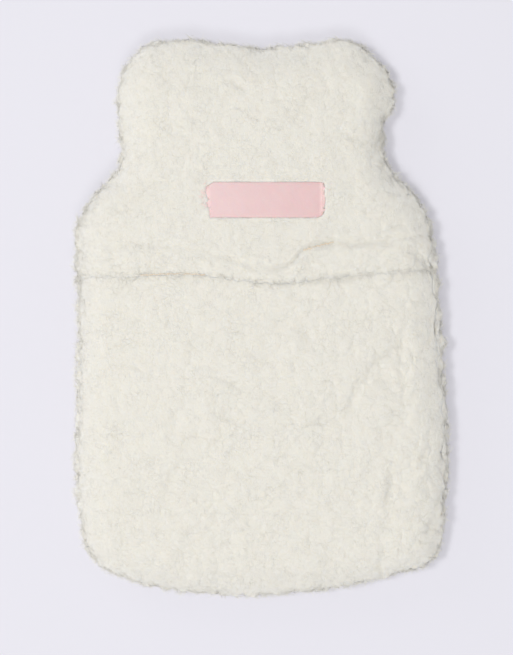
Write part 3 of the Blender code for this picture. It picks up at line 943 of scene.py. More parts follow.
def cloth_shell(name, outer, inner, upward, finish, hollow):
    """A closed piece of cloth: a fine outer grid, an inner grid of every STEP-th row and
    column of it, and a fan of triangles from each inner edge point to its outer ones.
    The outer grid takes the left three quarters of the bake map, the inner the rest."""
    outside, inside = outer.shape[:2], inner.shape[:2]
    first = outside[0] * outside[1]
    points = np.concatenate([outer.reshape(-1, 3), inner.reshape(-1, 3)])
    rim, lining = grid_rim(outside), grid_rim(inside, first)
    spokes = np.concatenate([rim, rim[:1]])
    step = np.arange(len(rim))
    owner = lining[(step + STEP // 2) // STEP % len(lining)]
    fan = np.stack([spokes[1:][step], spokes[:-1][step], owner], axis=1)
    middle = spokes[np.arange(len(lining)) * STEP + STEP // 2]
    caps = np.stack([middle, lining, np.roll(lining, -1)], axis=1)
    sides = np.concatenate([fan, caps])
    quads = [grid_quads(outside, 0, not upward), grid_quads(inside, first, upward)]
    faces = [np.concatenate(quads), sides if upward else sides[:, ::-1]]
    uv = np.concatenate([even_grid(outside, 0.01, 0.74), even_grid(inside, 0.76, 0.99)])
    # painted shade: the inner face takes the full painted shade
    deep = np.concatenate([hollow.ravel(), np.full(inside[0] * inside[1], 1.0)])
    return write_mesh(name, points, faces, finish, uv, deep)


def raise_normals(piece):
    """Bend a panel's normals upwards where it stands steep, because light is caught among
    the tips of long pile there. It fades out where the panel faces down."""
    ways = np.empty(len(piece.data.vertices) * 3, np.float32)
    piece.data.vertex_normals.foreach_get("vector", ways)
    ways = ways.reshape(-1, 3).astype(float)
    steep = (1.0 - np.abs(ways[:, 2])) * smooth_step(1.0 + 2.5 * ways[:, 2])
    ways[:, 2] += PANEL_RAISED * steep
    piece.data.normals_split_custom_set_from_vertices(unit(ways))


# ---------------------------------------------------------------- materials


def node_group(name, inputs, outputs):
    """An empty shader node group with named sockets, and its two ends."""
    tree = bpy.data.node_groups.new(name, "ShaderNodeTree")
    for label, kind, value in inputs:
        socket = tree.interface.new_socket(name=label, in_out="INPUT", socket_type=kind)
        if value is not None:
            socket.default_value = value
    for label, kind in outputs:
        tree.interface.new_socket(name=label, in_out="OUTPUT", socket_type=kind)
    return tree, tree.nodes.new("NodeGroupInput"), tree.nodes.new("NodeGroupOutput")


def set_inputs(node, values):
    """Sets a node's named inputs to these values."""
    for name, value in values.items():
        node.inputs[name].default_value = value


def maths(tree, operation, a, b=None, c=None, clamp=False):
    """A math node, fed with sockets or numbers."""
    node = tree.nodes.new("ShaderNodeMath")
    node.operation = operation
    node.use_clamp = clamp
    for socket, value in zip(node.inputs, (a, b, c)):
        if isinstance(value, bpy.types.NodeSocket):
            tree.links.new(value, socket)
        elif value is not None:
            socket.default_value = value
    return node.outputs[0]


def ramp(tree, value, low, high, kind="LINEAR"):
    """How far a value has come from low to high: 0 to 1, evenly or as an S."""
    node = tree.nodes.new("ShaderNodeMapRange")
    node.interpolation_type = kind
    set_inputs(node, {"From Min": low, "From Max": high})
    tree.links.new(value, node.inputs["Value"])
    return node.outputs["Result"]


def blend_colour(tree, share, low, high):
    """A mix of two colours, each a socket or a value."""
    node = tree.nodes.new("ShaderNodeMix")
    node.data_type = "RGBA"
    tree.links.new(share, node.inputs["Factor"])
    for socket, value in ((node.inputs[6], low), (node.inputs[7], high)):
        if isinstance(value, bpy.types.NodeSocket):
            tree.links.new(value, socket)
        else:
            socket.default_value = value
    return node.outputs[2]


def noise(tree, at, scale, detail=2.0, roughness=0.5, distortion=0.0):
    """A noise texture on these coordinates, as its even value."""
    node = tree.nodes.new("ShaderNodeTexNoise")
    set_inputs(node, {"Scale": scale, "Detail": detail})
    set_inputs(node, {"Roughness": roughness, "Distortion": distortion})
    tree.links.new(at, node.inputs["Vector"])
    return node.outputs["Fac"]


def curly_pile_group():
    """Colour and relief of the pile: from the colour of the tips to a painted shade colour
    by the sum of the shade painted into a place, painted shade in thin creases, and broad patches
    and fine strands, which are the pile's own random tone.
    The creases run between Voronoi cells on bent coordinates, open in some places only.
    The relief is the strands less the creases."""
    tree, start, end = node_group(
        "CurlyPile",
        (
            ("Coordinates", "NodeSocketVector", None),
            ("Hollow", "NodeSocketFloat", 0.0),
            ("Tips", "NodeSocketColor", None),
            ("Hollows", "NodeSocketColor", None),
            ("Fibre", "NodeSocketFloat", 1.0),
        ),
        (("Colour", "NodeSocketColor"), ("Relief", "NodeSocketFloat")),
    )
    at = start.outputs["Coordinates"]
    patch = maths(tree, "MULTIPLY_ADD", noise(tree, at, 45.0, 3.0), 0.06, -0.03)
    strands = noise(tree, at, 900.0, 3.0, 0.6, 1.5)
    speck = maths(tree, "MULTIPLY_ADD", strands, 0.16, -0.08)
    deep = maths(tree, "MULTIPLY", start.outputs["Hollow"], 0.50)
    wander = tree.nodes.new("ShaderNodeTexNoise")
    wander.inputs["Scale"].default_value = 260.0
    tree.links.new(at, wander.inputs["Vector"])
    bent = tree.nodes.new("ShaderNodeVectorMath")
    bent.operation = "MULTIPLY_ADD"
    tree.links.new(wander.outputs["Color"], bent.inputs[0])
    bent.inputs[1].default_value = (0.005, 0.005, 0.005)
    tree.links.new(at, bent.inputs[2])
    curls = tree.nodes.new("ShaderNodeTexVoronoi")
    curls.feature = "DISTANCE_TO_EDGE"
    curls.inputs["Scale"].default_value = 240.0
    tree.links.new(bent.outputs[0], curls.inputs["Vector"])
    parted = ramp(tree, curls.outputs["Distance"], 0.07, 0.0, "SMOOTHSTEP")
    open_here = ramp(tree, noise(tree, at, 90.0, 2.0), 0.35, 0.70)
    crease = maths(tree, "MULTIPLY", parted, open_here)
    # painted shade from the attribute, the patches and specks as random tone, and painted shade in
    # the creases
    share = maths(tree, "ADD", maths(tree, "ADD", deep, patch), speck)
    share = maths(tree, "ADD", share, maths(tree, "MULTIPLY", crease, 0.14), clamp=True)
    colour = blend_colour(tree, share, start.outputs["Tips"], start.outputs["Hollows"])
    tree.links.new(colour, end.inputs["Colour"])
    relief = maths(tree, "SUBTRACT", strands, maths(tree, "MULTIPLY", crease, 0.42))
    relief = maths(tree, "MULTIPLY", relief, start.outputs["Fibre"])
    tree.links.new(relief, end.inputs["Relief"])
    return tree


def woven_group():
    """Fine threads: their relief, as two crossed waves, and a slight change of tone."""
    tree, start, end = node_group(
        "Threads",
        (
            ("Coordinates", "NodeSocketVector", None),
            ("Along", "NodeSocketFloat", 9000.0),
            ("Across", "NodeSocketFloat", 16000.0),
        ),
        (("Relief", "NodeSocketFloat"), ("Tone", "NodeSocketFloat")),
    )
    parts = tree.nodes.new("ShaderNodeSeparateXYZ")
    tree.links.new(start.outputs["Coordinates"], parts.inputs[0])
    waves = []
    for axis, way, tall in (("Y", "Across", 0.7), ("X", "Along", 0.3)):
        reach = maths(tree, "MULTIPLY", parts.outputs[axis], start.outputs[way])
        waves.append(maths(tree, "MULTIPLY", maths(tree, "SINE", reach), tall))
    tree.links.new(maths(tree, "ADD", *waves), end.inputs["Relief"])
    tone = noise(tree, start.outputs["Coordinates"], 120.0, 3.0)
    tree.links.new(tone, end.inputs["Tone"])
    return tree


def shared_group(tree, name, at):
    """Places a shared node group in a tree, on these coordinates. It is built the first
    time that it is asked for."""
    makers = {"CurlyPile": curly_pile_group, "Threads": woven_group}
    node = tree.nodes.new("ShaderNodeGroup")
    node.node_tree = bpy.data.node_groups.get(name) or makers[name]()
    tree.links.new(at, node.inputs["Coordinates"])
    return node


def new_material(name, roughness):
    """A material with its tree, its Principled shader and object coordinates."""
    finish = bpy.data.materials.new(name)
    finish.use_nodes = True
    tree = finish.node_tree
    shader = tree.nodes["Principled BSDF"]
    shader.inputs["Roughness"].default_value = roughness
    at = tree.nodes.new("ShaderNodeTexCoord").outputs["Object"]
    return finish, tree, shader, at


def add_bump(tree, shader, relief, distance):
    """Relief as bump on a shader's normal, this deep in metres."""
    bump = tree.nodes.new("ShaderNodeBump")
    set_inputs(bump, {"Distance": distance, "Strength": 1.0})
    tree.links.new(relief, bump.inputs["Height"])
    tree.links.new(bump.outputs["Normal"], shader.inputs["Normal"])


def fleece_material(name, fibre_relief, subsurface):
    """The ivory pile, on the panels and on their loose wisps, coloured by CurlyPile from
    the painted shade attribute. A relief of 0 leaves it smooth."""
    fleece = bpy.context.scene.cover_fleece
    finish, tree, shader, at = new_material(name, 0.95)
    pile_node = shared_group(tree, "CurlyPile", at)
    set_inputs(pile_node, {"Tips": (*fleece.colour, 1.0), "Hollows": (*fleece.painted_shade_colour, 1.0)})
    # painted shade, read from the pieces' attribute
    deep = tree.nodes.new("ShaderNodeAttribute")
    deep.attribute_name = "hollow"
    tree.links.new(deep.outputs["Fac"], pile_node.inputs["Hollow"])
    tree.links.new(pile_node.outputs["Colour"], shader.inputs["Base Color"])
    set_inputs(shader, {
        "Specular IOR Level": 0.12,
        "Sheen Weight": 0.45,
        "Sheen Roughness": 0.5,
        "Sheen Tint": (0.93, 0.95, 1.0, 1.0),
        "Subsurface Weight": subsurface,
        "Subsurface Radius": (1.0, 0.95, 0.85),
        "Subsurface Scale": 0.0012,
    })
    if fibre_relief:
        add_bump(tree, shader, pile_node.outputs["Relief"], fibre_relief)
    return finish


def satin_material():
    """Blush satin with fine threads, paler at its left and deeper towards its right, which
    is a painted sheen, uneven by a random tone, and in the sewing thread's colour close to its two
    ends."""
    settings = bpy.context.scene.cover_ribbon
    finish, tree, shader, at = new_material("blush_satin", 0.42)
    threads = shared_group(tree, "Threads", at)
    parts = tree.nodes.new("ShaderNodeSeparateXYZ")
    tree.links.new(at, parts.inputs[0])
    x = parts.outputs["X"]
    # painted sheen: the satin deepens from its paler left to its right, and random tone makes it
    # uneven
    span = ramp(tree, x, RIBBON_LOW[0] * MM, RIBBON_HIGH[0] * MM)
    uneven = maths(tree, "MULTIPLY_ADD", threads.outputs["Tone"], 0.5, -0.25)
    share = maths(tree, "ADD", span, uneven, clamp=True)
    colour = blend_colour(tree, share, (*settings.colour, 1.0), (*settings.shade, 1.0))
    reach = maths(tree, "ABSOLUTE", maths(tree, "SUBTRACT", x, RIBBON_MIDDLE[0] * MM))
    half = 0.5 * RIBBON_SIZE[0]
    near_end = ramp(tree, reach, (half - 5.0) * MM, (half - 2.5) * MM)
    colour = blend_colour(tree, near_end, colour, (*settings.thread, 1.0))
    tree.links.new(colour, shader.inputs["Base Color"])
    set_inputs(shader, {
        "Sheen Weight": 0.25,
        "Sheen Roughness": 0.35,
        "Anisotropic": 0.5,
        "Subsurface Weight": 0.15,
        "Subsurface Scale": 0.001,
    })
    add_bump(tree, shader, threads.outputs["Relief"], 0.00004)
    return finish


def thread_material(name, colour):
    """Sewing thread, with its twist as a fine relief."""
    finish, tree, shader, at = new_material(name, 0.7)
    threads = shared_group(tree, "Threads", at)
    set_inputs(threads, {"Along": 9000.0, "Across": 9000.0})
    pale = tuple(min(1.0, c * 1.15) for c in colour)
    shade = blend_colour(tree, threads.outputs["Tone"], (*colour, 1.0), (*pale, 1.0))
    tree.links.new(shade, shader.inputs["Base Color"])
    shader.inputs["Sheen Weight"].default_value = 0.3
    add_bump(tree, shader, threads.outputs["Relief"], 0.00005)
    return finish


def floor_material():
    """A smooth pale floor with faint broad clouds, which gives a little light itself."""
    settings = bpy.context.scene.cover_stage
    finish, tree, shader, at = new_material("pale_floor", 0.8)
    clouds = noise(tree, at, 6.0, 2.0)
    near = tuple(settings.floor)
    paler = tuple(min(1.0, c * 1.015) for c in near)
    colour = blend_colour(tree, clouds, (*near, 1.0), (*paler, 1.0))
    tree.links.new(colour, shader.inputs["Base Color"])
    set_inputs(shader, {
        "Specular IOR Level": 0.1,
        "Emission Color": (0.985, 0.97, 1.04, 1.0),
        "Emission Strength": settings.glow,
    })
    return finish


# ---------------------------------------------------------------- the fleece panels


def row_shares(u, distances):
    """Shares along the cover at these distances above the hem's edge, one row each."""
    guess = share_at(u, np.full(u.shape, HEM_LINE[0].y))
    edge_y = hem_height(plan(u, guess)[..., 0])
    return np.array([share_at(u, edge_y + d) for d in distances])


def make_base_panel(fleece, finish):
    """The plain panel underneath: the skin's lower part, flat where it lies. Its pile
    fades to nothing there by an S of its height, pressed by the cover's weight."""
    u, v = crowded(BASE_COLUMNS)[None, :], crowded(BASE_ROWS)[:, None]
    points, facing, away = skin(u, v, upper=False)
    free = smooth_step((points[..., 2] - PRESSED_TO) / PILE_FREE_OVER)
    outer, hollow = furred(points, facing, away, fleece, shown=free)
    inner = (points - facing * FLEECE)[::STEP, ::STEP]
    return cloth_shell("base_fleece", outer, inner, False, finish, hollow)


def make_lower_panel(fleece, finish):
    """The body below the mouth. It sinks into the hem's valley, and dips by an S over
    LAP_DIVE to LAP_SUNK below the skin, where it runs on under the hem with little pile."""
    u = crowded(COLUMNS)
    start = -2.0 * HEM_VALLEY_REACH
    dip = np.linspace(start, LAP_DIVE, DIP_ROWS + 1)
    lap = np.linspace(LAP_DIVE, LAP, LAP_ROWS + 1)[1:]
    mouth = row_shares(u, np.concatenate([dip, lap]))
    shares = crowded(LOWER_ROWS, 1.0)[:-1, None]
    v = np.concatenate([mouth[0] * shares, mouth])
    along = np.concatenate([np.full(LOWER_ROWS, start), dip, lap])[:, None]
    points, facing, away = skin(u[None, :], v, upper=True)
    covered = smooth_step(along / LAP_DIVE)
    outer, hollow = furred(points, facing, away, fleece, shown=1.0 - 0.85 * covered)
    valley = hem_valley(points)
    sunk = valley + (LAP_SUNK - valley) * covered
    outer -= facing * sunk[..., None]
    inner = points - facing * (LAP_SUNK * covered + FLEECE)[..., None]
    # painted shade: darker in the hem's valley and on the lap under the hem
    hollow = hollow + 0.45 * valley + covered
    return cloth_shell("lower_fleece", outer, inner[::STEP, ::STEP], True, finish, hollow)


def make_upper_panel(fleece, finish):
    """The head and shoulders, with the hem's padded band along their lower edge, whose
    rise and underside follow HEM_BAND. Teeth, which are tufts drawn out along the cover,
    push the edge over the lower panel by a share that dies away from it, and raise a lip
    there, which a steeper term turns down again at the edge itself. The stitches draw a
    groove, a bell across their line, and the ribbon presses its bed."""
    u = crowded(COLUMNS)
    reach = HEM_BAND[-1].from_edge
    even = np.linspace(0.0, 1.0, BAND_ROWS + 1)
    near = reach * (0.35 * even + 0.65 * even**2)
    band = row_shares(u, near)
    shares = np.linspace(0.0, 1.0, UPPER_ROWS - BAND_ROWS + 1)[1:, None]
    shares = shares + EDGE_CROWDING * np.sin(np.pi * shares) / np.pi
    v = np.concatenate([band, band[-1] + (1.0 - band[-1]) * shares])
    beyond = np.full(UPPER_ROWS - BAND_ROWS, reach + 20.0)
    from_edge = np.concatenate([near, beyond])[:, None]
    points, facing, away = skin(u[None, :], v, upper=True)
    drawn_out = points * np.array([1.0, 0.2, 0.2])
    teeth = tufts(drawn_out, HEM_TOOTH, 83)[0] + 0.3 * soft_noise(points, 9.0, 84)
    overhang = HEM_OVERHANG * (0.45 + 1.1 * teeth)
    points[..., 1] -= overhang * np.exp(-from_edge / 2.2)
    x = points[..., 0]
    distances = [b.from_edge for b in HEM_BAND]
    rise = np.interp(from_edge, distances, [b.rise for b in HEM_BAND])
    under = np.interp(from_edge, distances, [b.under for b in HEM_BAND])
    kept = HEM_SIDES + (1.0 - HEM_SIDES) * smooth_step(np.minimum(u, 1.0 - u) / HEM_FADE)
    sewn_x = [s.x for s in HEM_STITCHES]
    line = np.interp(x, sewn_x, [s.from_edge for s in HEM_STITCHES])
    draw = np.interp(x, sewn_x, [s.depth for s in HEM_STITCHES])
    wander = 1.2 * soft_noise(points, 6.0, 81)
    groove = draw * np.exp(-(((from_edge - line + wander) / HEM_STITCH_WIDTH) ** 2))
    pressed = bed(points)
    valley = hem_valley(points)
    outer, hollow = furred(points, facing, away, fleece, shown=1.0 - 0.9 * pressed)
    lift = rise * kept - groove - valley - BED_DEPTH * pressed
    outer += facing * lift[..., None]
    turned_down = 1.0 - 2.2 * np.exp(-from_edge / 0.9)
    lip = turned_down * np.exp(-from_edge / 3.0) * (0.6 + 0.8 * teeth)
    outer += facing * (hem_column("lip", x) * lip)[..., None]
    # painted shade: darker in the stitches' groove and in the hem's valley
    hollow = hollow + 0.3 * groove + 0.2 * valley
    inner = points + facing * under[..., None]
    return cloth_shell("upper_fleece", outer, inner[::STEP, ::STEP], True, finish, hollow)


PANELS = {
    "base_fleece": ("base_panel", (BASE_ROWS + 1, BASE_COLUMNS + 1), -1.0),
    "lower_fleece": ("lower_panel", (LOWER_ROWS + DIP_ROWS + LAP_ROWS + 1, COLUMNS + 1), 1.0),
    "upper_fleece": ("upper_panel", (UPPER_ROWS + 1, COLUMNS + 1), 1.0),
}


class COVER_OT_panels(bpy.types.Operator):
    """Make the three fleece panels of the cover, each a closed piece of cloth with its
    tufts, curls, dents and creases, in place of its plain solid"""

    bl_idname = "cover.panels"
    bl_label = "Fleece panels"

    def execute(self, context):
        fleece = context.scene.cover_fleece
        finish = fleece_material("ivory_fleece", 0.0005, 1.0)
        for make in (make_base_panel, make_lower_panel, make_upper_panel):
            piece = make(fleece, finish)
            node, shape, _ = PANELS[piece.name]
            if shape[0] * shape[1] > len(piece.data.vertices):
                raise RuntimeError(f"{piece.name} has fewer points than its grid")
            raise_normals(piece)
            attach(piece, "root")
            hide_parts(node)
        return {"FINISHED"}


# ---------------------------------------------------------------- the wisps


def face_grid(piece):
    """The outer face of a panel as a grid of points in millimetres, the way it faces,
    which is the cross product of its slopes, and how much shade is painted into it."""
    _, shape, way = PANELS[piece.name]
    count = shape[0] * shape[1]
    points = np.empty(len(piece.data.vertices) * 3, np.float32)
    piece.data.vertices.foreach_get("co", points)
    points = points.reshape(-1, 3)[:count].reshape(*shape, 3).astype(float) / MM
    hollow = np.empty(len(piece.data.vertices), np.float32)
    piece.data.attributes["hollow"].data.foreach_get("value", hollow)
    across, along = np.gradient(points, axis=1), np.gradient(points, axis=0)
    facing = unit(np.cross(across, along) * way)
    return points, facing, hollow[:count].reshape(shape)


def read_between(grid, row, column):
    """A grid's values read between its points, evenly both ways."""
    r, c = np.floor(row).astype(int), np.floor(column).astype(int)
    a, b = (row - r)[:, None], (column - c)[:, None]
    low = grid[r, c] * (1 - b) + grid[r, c + 1] * b
    high = grid[r + 1, c] * (1 - b) + grid[r + 1, c + 1] * b
    return low * (1 - a) + high * a


def to_centre(points, size, seed):
    """The way from each point to the nearest of a cloud of centres, of which every cell
    of this size holds one."""
    cell = np.floor(points / size)
    best = np.full(points.shape[:-1], 1e9)
    way = np.zeros(points.shape)
    for step in np.ndindex(3, 3, 3):
        near = cell + np.array(step) - 1.0
        centre = near + np.stack([lattice(near, seed + k) for k in range(3)], axis=-1)
        gap = centre * size - points
        away = (gap**2).sum(axis=-1)
        closer = away < best
        best = np.where(closer, away, best)
        way = np.where(closer[..., None], gap, way)
    return way


def gone(steps):
    """How far each row's path has come at its points, from 0: its steps added up."""
    return np.cumsum(np.concatenate([np.zeros((len(steps), 1)), steps], axis=1), axis=1)


def tile_map(count):
    """Places on the bake map for wisps of four pairs of points, one square tile each."""
    across = int(np.ceil(np.sqrt(count)))
    number = np.arange(count)
    tile = np.stack([number % across, number // across], axis=1)[:, None, None, :]
    pairs = np.meshgrid(np.linspace(0.2, 0.8, 4), [0.3, 0.7], indexing="ij")
    return ((tile + np.stack(pairs, axis=-1)[None]) / across).reshape(-1, 2)


def wisp_mesh(name, roots, facing, hollow, wisps, rng, finish, upright, drift=0.0):
    """Many loose wisps as narrow strips of three quads. Each one's path turns evenly in
    the face's own plane while it rises off the pile and comes down again, or stands up
    by the share upright; its direction follows soft noise, so that neighbours lie
    alike, as in a curl, and its tip is drawn to the middle of its tuft. It is longer
    where the face is steep, tapers to its tip and is rolled by a random angle, always so
    that its face looks up. A drift carries its tip that far along the cover's length.
    Its normals are the face's own, spread a little across it and raised where the face
    is steep, so that it is lit as the pile round it is."""
    count = len(roots)
    east = unit(np.cross(facing, np.array([0.31, 0.95, 0.05])))
    north = np.cross(facing, east)
    swirl = 2.6 * np.pi * soft_noise(roots, SWIRL_SIZE, 91) + rng.normal(0.0, 0.7, count)
    bend = rng.normal(0.0, 1.5, count)
    beside = 1.0 - np.abs(facing[:, 2])
    length = wisps.length / MM * rng.uniform(0.55, 1.35, count) * (1.0 + 0.4 * beside)
    t = np.linspace(0.0, 1.0, len(WISP_TAPER))[None, :]
    angle = swirl[:, None] + bend[:, None] * t
    step = length[:, None] / 3.0 * (1.0 - 0.45 * upright[:, None])
    ahead = gone(np.cos(angle[:, :-1]) * step)
    aside = gone(np.sin(angle[:, :-1]) * step)
    arch = wisps.lift / MM * rng.uniform(0.4, 1.5, count)[:, None]
    arch = arch * np.sin(np.pi * (0.08 + 0.80 * t))
    stand = upright[:, None] * length[:, None] * 0.75 * t**0.8
    out = arch + stand - WISP_SUNK
    centre = roots[:, None] + east[:, None] * ahead[..., None] + north[:, None] * aside[..., None]
    centre = centre + facing[:, None] * out[..., None]
    centre[..., 1] += np.broadcast_to(drift, count)[:, None] * t
    gather = to_centre(roots, TUFT_PULL, 92)
    gather -= facing * (gather * facing).sum(axis=1, keepdims=True)
    pull = 0.25 + 0.5 * upright[:, None, None]
    centre = centre + gather[:, None] * pull * t[..., None] ** 1.5
    side = north[:, None] * np.cos(angle)[..., None] - east[:, None] * np.sin(angle)[..., None]
    roll = np.clip(np.abs(rng.normal(0.0, 0.6, count)) + 0.7 * beside, 0.0, 1.3)
    roll = (-np.sign(side[:, 1, 2]) * roll)[:, None, None]
    side = side * np.cos(roll) + facing[:, None] * np.sin(roll)
    width = wisps.width / MM * rng.uniform(0.6, 1.3, count)[:, None]
    half = 0.5 * width * np.array(WISP_TAPER)[None, :]
    points = np.stack([centre - side * half[..., None], centre + side * half[..., None]], axis=2)
    points[..., 2] = np.maximum(points[..., 2], LOWEST)
    corner = np.arange(count)[:, None, None] * 8 + np.arange(3)[None, :, None] * 2
    quads = (corner + np.array([0, 2, 3, 1])[None, None, :]).reshape(-1, 4)
    # painted shade: half the panel's painted shade at each root, with a random tone of each wisp's
    # own
    tone = np.repeat(np.clip(hollow * 0.5 + rng.normal(0.0, 0.08, count), 0.0, 2.0), 8)
    piece = write_mesh(name, points.reshape(-1, 3), [quads], finish, tile_map(count), tone)
    raised = np.array([0.0, 0.0, 1.0]) * beside[:, None] * FIBRE_RAISED
    lean = (facing + raised)[:, None] + rng.normal(0.0, 0.30, count)[:, None, None] * side
    rounded = np.stack([lean - 0.4 * side, lean + 0.4 * side], axis=2)
    piece.data.normals_split_custom_set_from_vertices(unit(rounded).reshape(-1, 3))
    return piece


def grow_pile(piece, name, share, wisps, rng, finish):
    """The wisps of one panel, strewn over its outer face by the area of each cell, and
    more thickly round the rim and along the hem's edge, where they also drift over the
    lower panel. Those on steep places and some of the rest stand up, but where the
    panel faces down they lie flat. None grow under the ribbon, the lap or the cover."""
    points, facing, hollow = face_grid(piece)
    rows, columns = hollow.shape
    corner = points[:-1, :-1]
    cells = np.cross(points[1:, :-1] - corner, points[:-1, 1:] - corner)
    cells = np.linalg.norm(cells, axis=-1)
    want = cells.sum() / 100.0 * wisps.density * share
    rim = smooth_step(1.0 - np.abs(facing[:-1, :-1, 2]) / 0.7)
    fringe = np.zeros(rows - 1)
    if name == "upper_pile":
        fringe = np.clip(1.0 - np.arange(rows - 1) / FRINGE_ROWS, 0.0, 1.0)
    weight = cells * (1.0 + RIM_WISPS * rim + FRINGE_WISPS * fringe[:, None])
    pick = rng.choice(cells.size, size=int(want), p=(weight / weight.sum()).ravel())
    row = pick // (columns - 1) + rng.random(len(pick))
    column = pick % (columns - 1) + rng.random(len(pick))
    roots = read_between(points, row, column)
    ways = unit(read_between(facing, row, column))
    # the panel's painted shade at each root
    deep = read_between(hollow[..., None], row, column)[:, 0]
    past = np.abs(roots[:, :2] - RIBBON_MIDDLE[:2]) - 0.5 * RIBBON_SIZE[:2]
    clear = (past.max(axis=1) > 0.0) | (roots[:, 2] < 20.0)
    if name == "lower_pile":
        clear &= row < LOWER_ROWS + DIP_ROWS + 1
    if name == "base_pile":
        clear &= roots[:, 2] > rng.uniform(0.8, 4.0, len(pick))
    drift = -FRINGE * fringe[np.minimum(row.astype(int), rows - 2)][clear]
    roots, ways, deep = roots[clear], ways[clear], deep[clear]
    beside = smooth_step(1.0 - np.abs(ways[:, 2]) / 0.7)
    upright = rng.random(len(roots)) ** (5.0 - 4.0 * beside) * 0.8
    upright = upright * smooth_step((ways[:, 2] + 0.02) / 0.25)
    return wisp_mesh(name, roots, ways, deep, wisps, rng, finish, upright, drift)


class COVER_OT_pile(bpy.types.Operator):
    """Grow the loose wisps of the pile on the three panels"""

    bl_idname = "cover.pile"
    bl_label = "Loose pile"

    def execute(self, context):
        wisps = context.scene.cover_wisps
        finish = fleece_material("ivory_fibre", 0.0, 0.0)
        rng = np.random.default_rng(20)
        for panel, share in GROWN:
            piece = bpy.data.objects[panel]
            grown = grow_pile(piece, panel.replace("_fleece", "_pile"), share, wisps, rng, finish)
            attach(grown, "root")
        return {"FINISHED"}


# ---------------------------------------------------------------- the ribbon


def ribbon_height(x, y):
    """How high the ribbon lies: the crown of the panel, less RIBBON_SUNK."""
    left, right = (
        np.interp(y, [s.left_y for s in SIDES], [getattr(s, side) for s in SIDES])
        for side in ("left_x", "right_x")
    )
    return crown((x - left) / (right - left), 0.5 + 0.5 * y / HALF_LENGTH, y) - RIBBON_SUNK


def ribbon_strip(finish):
    """The ribbon over (s, t) from -1 to 1 along and across it, between its two edges. Its
    left end is cut aslant, and soft noise of two sizes moves both ends, more the nearer a
    point is, which makes them ragged. Its height follows the panel, with a slight wave
    and a sine's puckers that die away from the stitches, and it dips under the pile at
    its edges and ends."""
    rows, columns = RIBBON_GRID
    s, t = np.meshgrid(np.linspace(-1.0, 1.0, columns), np.linspace(-1.0, 1.0, rows))
    left = ribbon_left(0.5 * (1.0 + t))
    x = left + (RIBBON_HIGH[0] - left) * 0.5 * (s + 1.0)
    place = np.stack([x, 10.0 * t, np.zeros_like(x)], axis=-1)
    ragged = 1.6 * soft_noise(place, 1.6, 111) + 0.9 * soft_noise(place, 4.0, 112) - 0.6
    x = x + ragged * np.sign(s) * smooth_step((np.abs(s) - 0.9) / 0.1)
    low, high = ribbon_edges(x)
    y = low + (high - low) * 0.5 * (t + 1.0)
    points = np.stack([x, y, np.zeros_like(x)], axis=-1)
    wave = 0.16 * soft_noise(points, 15.0, 95) + 0.08 * soft_noise(points, 5.0, 96)
    pucker = 0.22 * np.sin(9.0 * t + 1.0) * np.exp(-((1.0 - np.abs(s)) / 0.07))
    sunk = 0.3 * smooth_step((np.abs(s) - 0.93) / 0.07)
    sunk = sunk + 0.25 * smooth_step((np.abs(t) - 0.86) / 0.14)
    points[..., 2] = ribbon_height(x, y) + wave + pucker - sunk
    quads, uv = grid_quads(RIBBON_GRID), even_grid(RIBBON_GRID, 0.01, 0.99)
    piece = write_mesh("satin_ribbon", points.reshape(-1, 3), [quads], finish, uv)
    thick = piece.modifiers.new("Thickness", "SOLIDIFY")
    thick.thickness = RIBBON_THICKNESS * MM
    thick.offset = -1.0
    return piece


class COVER_OT_ribbon(bpy.types.Operator):
    """Make the bare satin ribbon, with its ragged ends, in place of its plain solid"""

    bl_idname = "cover.ribbon"
    bl_label = "Satin ribbon"

    def execute(self, context):
        piece = ribbon_strip(satin_material())
        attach(piece, "root")
        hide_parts("ribbon")
        return {"FINISHED"}


# ---------------------------------------------------------------- the stitches


def stitch_tubes(name, starts, ends, stitch, finish):
    """Stitches as closed tubes of thread, one from each start to its end: straight seen
    from above, bowed up between by half a sine wave, and thinner at both ends by the
    sixth power of the distance from the middle, which rounds them."""
    around, along = 8, 7
    t = np.linspace(0.0, 1.0, along)
    turn = np.arange(around) * 2.0 * np.pi / around
    way = unit(ends - starts)
    side = unit(np.cross(np.array([0.0, 0.0, 1.0]), way))
    up = np.cross(way, side)
    middle = starts[:, None] + (ends - starts)[:, None] * t[None, :, None]
    middle = middle + up[:, None] * (stitch.bow * np.sin(np.pi * t))[None, :, None]
    radius = 0.5 * stitch.thick * np.sqrt(np.clip(1.0 - (2.0 * t - 1.0) ** 6, 0.06, 1.0))
    across, upwards = np.cos(turn)[:, None], np.sin(turn)[:, None]
    ring = side[:, None, None] * across + up[:, None, None] * upwards
    points = middle[:, :, None] + ring * radius[None, :, None, None]
    count = len(starts)
    number = np.arange(count * along * around).reshape(count, along, around)
    beside = np.roll(number, -1, axis=2)
    quads = [number[:, :-1], beside[:, :-1], beside[:, 1:], number[:, 1:]]
    caps = np.concatenate([number[:, 0, ::-1], number[:, -1]])
    faces = [np.stack(quads, axis=-1).reshape(-1, 4), caps]
    return write_mesh(name, points.reshape(-1, 3), faces, finish)


def surface_height(piece, places):
    """How high a panel's outer face stands at these places: its nearest points'."""
    points, _, _ = face_grid(piece)
    points = points.reshape(-1, 3)
    near = [((points[:, :2] - place[:2]) ** 2).sum(axis=1).argmin() for place in places]
    return points[near, 2]


